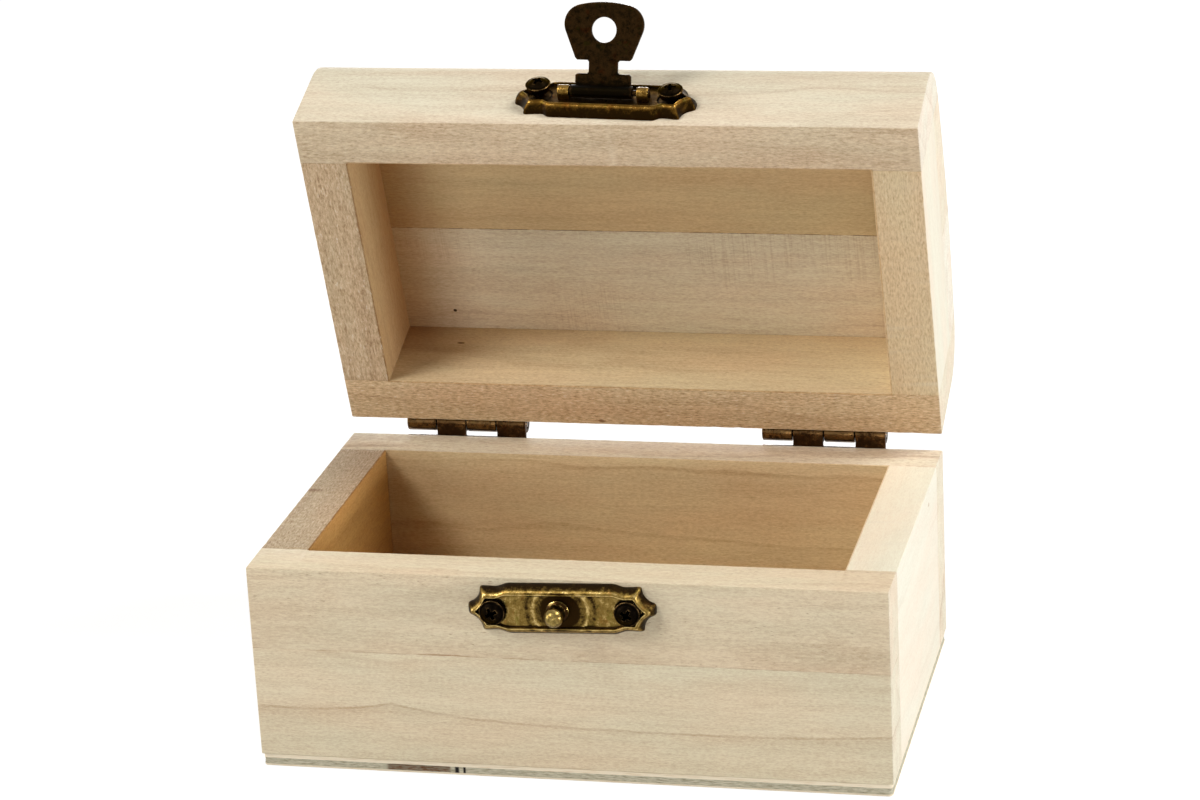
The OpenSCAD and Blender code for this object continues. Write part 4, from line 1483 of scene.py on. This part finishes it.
# %% The keeper plate
RINGS = [(3.1, 0.07, 0.3), (4.3, 0.14, 0.4)]
RING_WEAR = [(4.35, 0.2, 0.3), (3.7, -0.25, 0.25), (5.3, -0.3, 0.4)]
BLACK_R, BLACK_FADE, BLACK_WEAR = 3.6, 1.1, -0.75
DISH_DEPTH, DISH_R = 0.12, 1.6
FLOOR_UNEVEN = 0.05


def keeper_floor(x, y):
    from_knob = math.dist((x, y), (0, 0))
    rings = sum(height * bell(from_knob - radius, width) for radius, height, width in RINGS)
    dish = DISH_DEPTH * bell(from_knob, DISH_R)
    return rings - dish + FLOOR_UNEVEN * noise.noise(Vector((x * 0.9, y * 0.9, 3.1)))


def keeper_wear(spot, facing):
    """Cloth and fingers miss the places round the knob, which stay black."""
    wear = plate_wear(spot, facing)
    if spot.z > 1.3 * MM and facing.z > 0.8:
        from_knob = spot.xy.length / MM
        wear += sum(change * bell(from_knob - radius, width) for radius, change, width in RING_WEAR)
        wear += BLACK_WEAR * max(0, min(1, (BLACK_R - from_knob) / BLACK_FADE))
    return wear


keeper = model_plate("keeper_plate", keeper_floor, KEEPER_SLOPE, keeper_wear)
settle(keeper, keeper_frame)
hand_over(keeper, "keeper_plate", keeper_brass)
print("keeper plate:", len(keeper.data.vertices), "points")

# %% The knob
KNOB_OUT = (FRONT - knob_low.y) / MM
BALL_R = (knob_high.x - knob_low.x) / MM / 2 + 0.1
BALL_Z = KNOB_OUT - BALL_R
KNOB_X = (knob_low.x + knob_high.x) / 2
STEM_FROM, BALL_FROM = 1.95 * MM, 3.3 * MM
COLLAR_WEAR, STEM_WEAR, BALL_WEAR = -0.45, 0.0, 0.05
# Painted highlight: a bright spot on the collar's upper-left rim, standing in for the glint of the left
# lamp.
COLLAR_GLINT_AT, COLLAR_GLINT_R, COLLAR_GLINT_STRENGTH = Vector((-0.85, 1.6)), 0.45, 0.8

knob_section = [(0.1, 0.35), (1.15, 0.35), (1.2, 0.42), (1.2, 0.66), (0.75, 0.7), (0.75, 1.3)]
knob_section += [(1.7, 1.3), (1.8, 1.38), (1.84, 1.52), (1.78, 1.68), (1.6, 1.8), (1.42, 1.9)]
knob_section += [(1.27, 2.08), (1.2, 2.35), (1.17, 2.6)]
knob_section += arc((0, BALL_Z), BALL_R, -40, 89, 22)
knob = turned("keeper_knob", knob_section)


def knob_wear_and_glint(spot, facing):
    """The ball is rubbed and the stem hardly; the collar stays dark, with a painted highlight on its
    upper-left rim.
    """
    if spot.z > STEM_FROM:
        return BALL_WEAR if spot.z > BALL_FROM else STEM_WEAR
    # Painted highlight on the collar's rim; the rest of the collar stays dark.
    return COLLAR_GLINT_STRENGTH * bell((spot.xy / MM - COLLAR_GLINT_AT).length, COLLAR_GLINT_R) + COLLAR_WEAR


mark_rub(knob, knob_wear_and_glint)
settle(knob, keeper_frame @ Matrix.Translation((KNOB_X, 0, 0)))
hand_over(knob, "keeper_knob", knob_brass)
print("knob stands", round(KNOB_OUT, 2), "mm out, ball", round(2 * BALL_R, 2), "mm")

# %% The screws of both plates
KEEPER_TURNS, HASP_TURNS = (24, 58), (70, 12)
HASP_ASKEW = {"outward": 0.2, "above": 0.25, "proud": (0.9, 0.6)}


def plate_screw_poses(pose, turns, outward=0.0, above=0.0, proud=(0.0, 0.0)):
    """Screws seldom sit quite true: the last three are how far off these do, in millimetres."""
    poses = []
    for side, turn, lift in zip((-1, 1), turns, proud):
        spot = Vector((side * (SCREW_X + outward), above, SUNK + lift)) * MM
        poses.append(pose @ Matrix.Translation(spot) @ Matrix.Rotation(math.radians(turn), 4, "Z"))
    return poses


plate_screw = model_screw("plate_screw", HEAD_R, HEAD_H, SCREW_L)
hasp_screw = copy_of(plate_screw)
keeper_screws = copies_at(plate_screw, plate_screw_poses(keeper_frame, KEEPER_TURNS))
hand_over(keeper_screws, "keeper_screws", screw_black)
hasp_screws = copies_at(hasp_screw, plate_screw_poses(plate_frame, HASP_TURNS, **HASP_ASKEW))
hand_over(hasp_screws, "hasp_screws", screw_black_lid)
print("the hasp's screws stand", HASP_ASKEW["proud"], "mm proud")

# %% [markdown]
# The hasp's plate is stamped like the keeper's, and carries two lugs of folded sheet that hold
# the flap's pin. A lug starts as one flat strip standing on the plate. Its upper edge is spun
# half a turn round the pin, and then drawn down again to the plate, before the sheet gets its
# thickness.

# %% Sheet-metal helpers
def at_zero(edge, axis):
    """Whether both ends of an edge lie at zero on an axis."""
    return all(abs(vert.co[axis]) < 0.001 * MM for vert in edge.verts)


def spin_edge(angle, steps):
    """Rolls the selected edges round the X axis, where the pin lies; spin turns clockwise."""
    bpy.ops.mesh.spin(steps=steps, angle=-angle, center=(0, 0, 0), axis=(1, 0, 0))


def thicken(piece, thickness, round_edges):
    pick(piece)
    bpy.ops.object.mode_set(mode="EDIT")
    bpy.ops.mesh.select_all(action="SELECT")
    bpy.ops.mesh.remove_doubles(threshold=0.005 * MM)
    bpy.ops.mesh.normals_make_consistent(inside=False)
    clear_desk()
    apply_modifier(piece, "SOLIDIFY", thickness=thickness * MM, offset=0, use_even_offset=True)
    apply_modifier(piece, "BEVEL", width=round_edges * MM, segments=2, angle_limit=math.radians(50))


def move_selected(piece, change):
    """Moves the selected points by a rule that gives each one its new place."""
    mesh = bmesh.from_edit_mesh(piece.data)
    for vert in mesh.verts:
        if vert.select:
            vert.co = change(vert.co)
    bmesh.update_edit_mesh(piece.data)


print("sheet-metal helpers are ready")

# %% The hasp plate and its lugs
LUG_OUT = shut_box("hasp_pin", hasp_frame)[1].x / MM
LUG_WIDTH, LUG_SHEET, LUG_ROLL = 1.9, 0.5, 0.74
LUG_FOOT = (SUNK - 0.25 - PIN_OUT) * MM
LUG_EASING, LUG_ROLL_STEPS = 0.2, 10
LUG_WEAR, LUG_WEAR_PER_MM = 0.15, 0.25


def model_lug():
    """The strap over the pin, in a frame whose X axis is the pin."""
    clear_desk()
    bpy.ops.mesh.primitive_plane_add(size=1)
    lug = bpy.context.object
    mesh = edit(lug, "EDGE")
    corners = [(-0.5, LUG_FOOT), (0.5, LUG_FOOT), (0.5, 0), (-0.5, 0)]
    ordered = sorted(mesh.verts, key=lambda vert: math.atan2(vert.co.y, vert.co.x))
    for vert, (x, z) in zip(ordered, corners):
        vert.co = Vector((x * LUG_WIDTH * MM, -LUG_ROLL * MM, z))
    bmesh.update_edit_mesh(lug.data)
    select(lug, mesh.edges, lambda edge: at_zero(edge, 2))
    spin_edge(-math.pi, LUG_ROLL_STEPS)
    bpy.ops.mesh.extrude_edges_move()
    move_selected(lug, lambda spot: Vector((spot.x, spot.y, LUG_FOOT)))
    clear_desk()
    thicken(lug, LUG_SHEET, LUG_EASING)
    apply_modifier(lug, "SUBSURF", levels=2)
    mark_rub(lug, lambda spot, facing: LUG_WEAR_PER_MM * spot.z / MM + LUG_WEAR)
    return lug


def hasp_floor(x, y):
    return FLOOR_UNEVEN * noise.noise(Vector((x * 0.8, y * 0.8, 8.4)))


hasp = model_plate("hasp_plate", hasp_floor, HASP_SLOPE)
settle(hasp, plate_frame)
lug_x = (LUG_OUT - LUG_WIDTH / 2) * MM
lug_poses = [pin_frame @ Matrix.Translation((side * lug_x, 0, 0)) for side in (-1, 1)]
join(hasp, [copies_at(model_lug(), lug_poses)])
hand_over(hasp, "hasp_plate", hasp_brass)
print("hasp plate with lugs:", len(hasp.data.vertices), "points")

# %% [markdown]
# ## The hasp's flap and pin
# The flap is a flat blank with a wide head, a slim neck and a foot. Its outline and its hole are
# filled as a flat sheet. The edge at the foot is then spun most of a turn round the pin, which
# makes the rolled barrel that it hangs from. Cutting the blank into small squares gives the
# patina enough points to follow the edges.

# %% Outline of the flap
FLAP_SHEET, FLAP_ROLL = 0.5, 0.74
FLAP_REACH, FLAP_LENGTH, HOLE_R = 9.65, 14.0, 2.0
HEAD_HALF, THROAT_HALF, FOOT_HALF, NECK_HALF, BARREL_HALF = 6.45, 4.6, 4.5, 2.35, 4.95
FOOT_END, NECK_END = 2.8, 4.9
FOOT_CUT, NECK_CUT, THROAT_CUT = 0.3, 0.25, 0.35
CORNER_R, CORNER_OUT = 3.1, 0.85
FLAP_OPEN = opened_by(joints["hasp_swing"])


def flap_half():
    """Half of the flap's outline from the foot up, as (distance from the middle, from the pin)."""
    corner = (HEAD_HALF - CORNER_R, FLAP_REACH + CORNER_OUT)
    rise = FLAP_LENGTH - corner[1]
    top_r = (corner[0] ** 2 + rise**2 - CORNER_R**2) / (2 * (rise - CORNER_R))
    top_centre = (0, FLAP_LENGTH - top_r)
    lean = math.degrees(math.atan2(corner[1] - top_centre[1], corner[0]))
    throat = (THROAT_HALF, NECK_END)
    gap = math.dist(corner, throat)
    turn = math.atan2(corner[1] - throat[1], corner[0] - throat[0]) - math.asin(CORNER_R / gap)
    reach = leg(gap, CORNER_R)
    side = (throat[0] + reach * math.cos(turn), throat[1] + reach * math.sin(turn))
    start = math.degrees(math.atan2(side[1] - corner[1], side[0] - corner[0]))
    outline = [(FOOT_HALF, 0), (FOOT_HALF, FOOT_END - FOOT_CUT), (FOOT_HALF - FOOT_CUT, FOOT_END)]
    outline += [(NECK_HALF + NECK_CUT, FOOT_END), (NECK_HALF, FOOT_END + NECK_CUT)]
    outline += [(NECK_HALF, NECK_END - NECK_CUT), (NECK_HALF + NECK_CUT, NECK_END)]
    outline += [(THROAT_HALF - THROAT_CUT, NECK_END), (THROAT_HALF, NECK_END + THROAT_CUT), side]
    outline += arc(corner, CORNER_R, start, lean, 12)[1:]
    outline += arc(top_centre, top_r, lean, 90, 6)[1:]
    return outline


half = flap_half()
flap_outline = half + [(-x, y) for x, y in reversed(half[:-1])]
print("flap outline:", len(flap_outline), "points")

# %% Model the flap
FLAP_GRID, FLAP_COLUMNS, FLAP_ROWS = 0.5, 26, 28
HOLE_POINTS = 40
ROLL_TURN, ROLL_STEPS = math.radians(300), 26
BARREL_STEP, FLAP_EASING = 0.12, 0.09
# Painted shade: the rolled barrel is made darker near the pin, where it hangs in shade.
BARREL_SHADE, BARREL_SHADE_REACH = -0.35, 1.4
FLAP_SLID = -0.25 * MM


def flap_spot(x, reach):
    """A place on the flat blank, which hangs below the pin with its sheet away from the wood."""
    return Vector((x, -reach, FLAP_ROLL)) * MM


clear_desk()
bpy.ops.mesh.primitive_circle_add(vertices=len(flap_outline))
flap = bpy.context.object
mesh = edit(flap, "EDGE")
for vert, (x, reach) in zip(mesh.verts, flap_outline):
    vert.co = flap_spot(x, reach)
bmesh.update_edit_mesh(flap.data)
hole_spot = flap_spot(0, FLAP_REACH)
bpy.ops.mesh.primitive_circle_add(vertices=HOLE_POINTS, radius=HOLE_R * MM, location=hole_spot)
bpy.ops.mesh.select_all(action="SELECT")
bpy.ops.mesh.fill(use_beauty=True)
first_x = -FLAP_COLUMNS * FLAP_GRID / 2
cuts = [(flap_spot(first_x + step * FLAP_GRID, 0), (1, 0, 0)) for step in range(1, FLAP_COLUMNS)]
cuts += [(flap_spot(0, step * FLAP_GRID), (0, 1, 0)) for step in range(1, FLAP_ROWS)]
for spot, normal in cuts:
    bpy.ops.mesh.select_all(action="SELECT")
    bpy.ops.mesh.bisect(plane_co=spot, plane_no=normal)
bpy.ops.mesh.select_all(action="SELECT")
bpy.ops.mesh.remove_doubles(threshold=0.002 * MM)

# The foot's edge steps out to the width of the barrel, and is rolled from there
mesh = edit(flap, "EDGE")
at_pin = select(flap, mesh.edges, lambda edge: at_zero(edge, 1))
bpy.ops.mesh.extrude_edges_move()
widen = BARREL_HALF / FOOT_HALF
move_selected(flap, lambda spot: Vector((spot.x * widen, BARREL_STEP * MM, (FLAP_ROLL - 0.01) * MM)))
spin_edge(-ROLL_TURN, ROLL_STEPS)
clear_desk()
thicken(flap, FLAP_SHEET, FLAP_EASING)
# Painted shade on the barrel, strongest at the pin.
mark_rub(flap, lambda spot, facing: BARREL_SHADE * bell(spot.y / MM, BARREL_SHADE_REACH))
flap_turn = Matrix.Rotation(-FLAP_OPEN, 4, "X")
settle(flap, pin_frame @ Matrix.Translation((FLAP_SLID, 0, 0)) @ flap_turn)
hand_over(flap, "hasp_flap", flap_bronze)
print("flap:", at_pin, "edges rolled,", len(flap.data.vertices), "points")

# %% The hasp's pin
HASP_PIN_R = 0.45
PIN_STEPS = 24


def pin_section(radius, half_length):
    """Half a round-ended pin's section, turned on its own axis."""
    soft_end = radius * 0.35
    end = [(0.05, half_length), (radius - soft_end, half_length), (radius, half_length - soft_end)]
    middle = [(radius, height) for height in (half_length * 0.5, 0, -half_length * 0.5)]
    return [(r, -z) for r, z in end] + middle[::-1] + end[::-1]


hasp_pin = turned("hasp_pin", pin_section(HASP_PIN_R, LUG_OUT), PIN_STEPS)
mark_rub(hasp_pin)
settle(hasp_pin, pin_frame @ ALONG_X)
hand_over(hasp_pin, "hasp_pin", flap_bronze)
print("hasp pin:", round(2 * LUG_OUT, 2), "mm long")

# %% [markdown]
# ## The hinges
# Each hinge is two leaves of thin sheet. Two strips of each leaf are rolled round the pin, and
# those of the two leaves take turns. A leaf starts as a flat plane. It is cut at the knuckles'
# ends, and the edge pieces there are extruded to the pin and spun most of a turn round it. The
# leaves of both hinges are alike, so each kind is modelled once and copied.

# %% Model a leaf
HINGE_SHEET, BARREL_R = 0.7, 1.54
ROLL_R = BARREL_R - HINGE_SHEET / 2
LEAF_Y = -BARREL_R - 0.1 + HINGE_SHEET / 2
LEAF_EDGE, LEAF_HEIGHT, LEAF_BEND = 1.94, 9.0, 1.2
LEAF_EASING = 0.16
KNUCKLES, KNUCKLE_GAP = 4, 0.2
KNUCKLE_PITCH = (HINGE_WIDTH + KNUCKLE_GAP) / KNUCKLES


def model_leaf(toward):
    """toward is -1 for the base and 1 for the lid, whose leaf has the first and third knuckle."""
    clear_desk()
    bpy.ops.mesh.primitive_plane_add(size=1)
    leaf = bpy.context.object
    mesh = edit(leaf, "EDGE")
    low, high = toward * LEAF_EDGE, toward * LEAF_HEIGHT
    for vert in mesh.verts:
        x = math.copysign(HINGE_WIDTH / 2, vert.co.x)
        vert.co = Vector((x, LEAF_Y, high if vert.co.y > 0 else low)) * MM
    bmesh.update_edit_mesh(leaf.data)
    starts = [
        index * KNUCKLE_PITCH - HINGE_WIDTH / 2 for index in range(0 if toward > 0 else 1, KNUCKLES, 2)
    ]
    ends = [(start, start + KNUCKLE_PITCH - KNUCKLE_GAP) for start in starts]
    for cut_x in (cut for knuckle in ends for cut in knuckle):
        bpy.ops.mesh.select_all(action="SELECT")
        bpy.ops.mesh.bisect(plane_co=(cut_x * MM, 0, 0), plane_no=(1, 0, 0))
    mesh = edit(leaf, "EDGE")

    def at_knuckle(edge):
        spot = middle_of(edge) / MM
        return abs(spot.z - low) < 0.01 and any(start < spot.x < end for start, end in ends)

    select(leaf, mesh.edges, at_knuckle)
    for height in (LEAF_BEND, 0):
        bpy.ops.mesh.extrude_edges_move()
        move_selected(leaf, lambda spot: Vector((spot.x, -ROLL_R * MM, toward * height * MM)))
    spin_edge(toward * ROLL_TURN, ROLL_STEPS)
    clear_desk()
    thicken(leaf, HINGE_SHEET, LEAF_EASING)
    mark_rub(leaf)
    return leaf


hinge_nodes = ("left_hinge", "right_hinge")
for toward, body, material in ((-1, "base", hinge_bronze), (1, "lid", hinge_bronze_lid)):
    leaf = model_leaf(toward)
    for side, hinge in zip((-1, 1), hinge_nodes):
        copy = copy_of(leaf)
        settle(copy, hinge_frame(side, toward > 0))
        hand_over(copy, f"{hinge}_{body}_leaf", material)
    bpy.data.objects.remove(leaf)
print("leaf width, mm:", round(HINGE_WIDTH, 2))

# %% Pins and screws of the hinges
HINGE_PIN_R = 0.8
HINGE_SCREW_X, HINGE_SCREW_DROP = 6.2, 5.6
FIRST_TURN, NEXT_TURN = 35, 50
OUTWARD = Matrix.Rotation(-math.pi / 2, 4, "X")
face_y = BACK - hinge_line.y + HINGE_SHEET * MM


def hinge_screw_poses(side, toward):
    poses = []
    for number, x in enumerate((-HINGE_SCREW_X, HINGE_SCREW_X)):
        spot = Matrix.Translation((x * MM, face_y, toward * HINGE_SCREW_DROP * MM))
        turn = Matrix.Rotation(math.radians(FIRST_TURN + NEXT_TURN * number * toward), 4, "Z")
        poses.append(hinge_frame(side, toward > 0) @ spot @ OUTWARD @ turn)
    return poses


hinge_pin = turned("hinge_pin", pin_section(HINGE_PIN_R, HINGE_WIDTH / 2), PIN_STEPS)
mark_rub(hinge_pin)
hinge_screw = model_screw("hinge_screw", HINGE_HEAD_R, HINGE_HEAD_H, HINGE_SCREW_L)
for side, hinge in zip((-1, 1), hinge_nodes):
    pin = copy_of(hinge_pin)
    settle(pin, hinge_frame(side, False) @ ALONG_X)
    hand_over(pin, hinge + "_pin", hinge_bronze)
    for toward, body, material in ((-1, "base", screw_black), (1, "lid", screw_black_lid)):
        screws = copies_at(copy_of(hinge_screw), hinge_screw_poses(side, toward))
        hand_over(screws, f"{hinge}_{body}_screws", material)
for model in (hinge_pin, hinge_screw):
    bpy.data.objects.remove(model)
print("pieces so far:", len(visual_pieces))

# %% Count the points of every piece
for piece in visual_pieces:
    print(piece.name, "points:", len(piece.data.vertices))
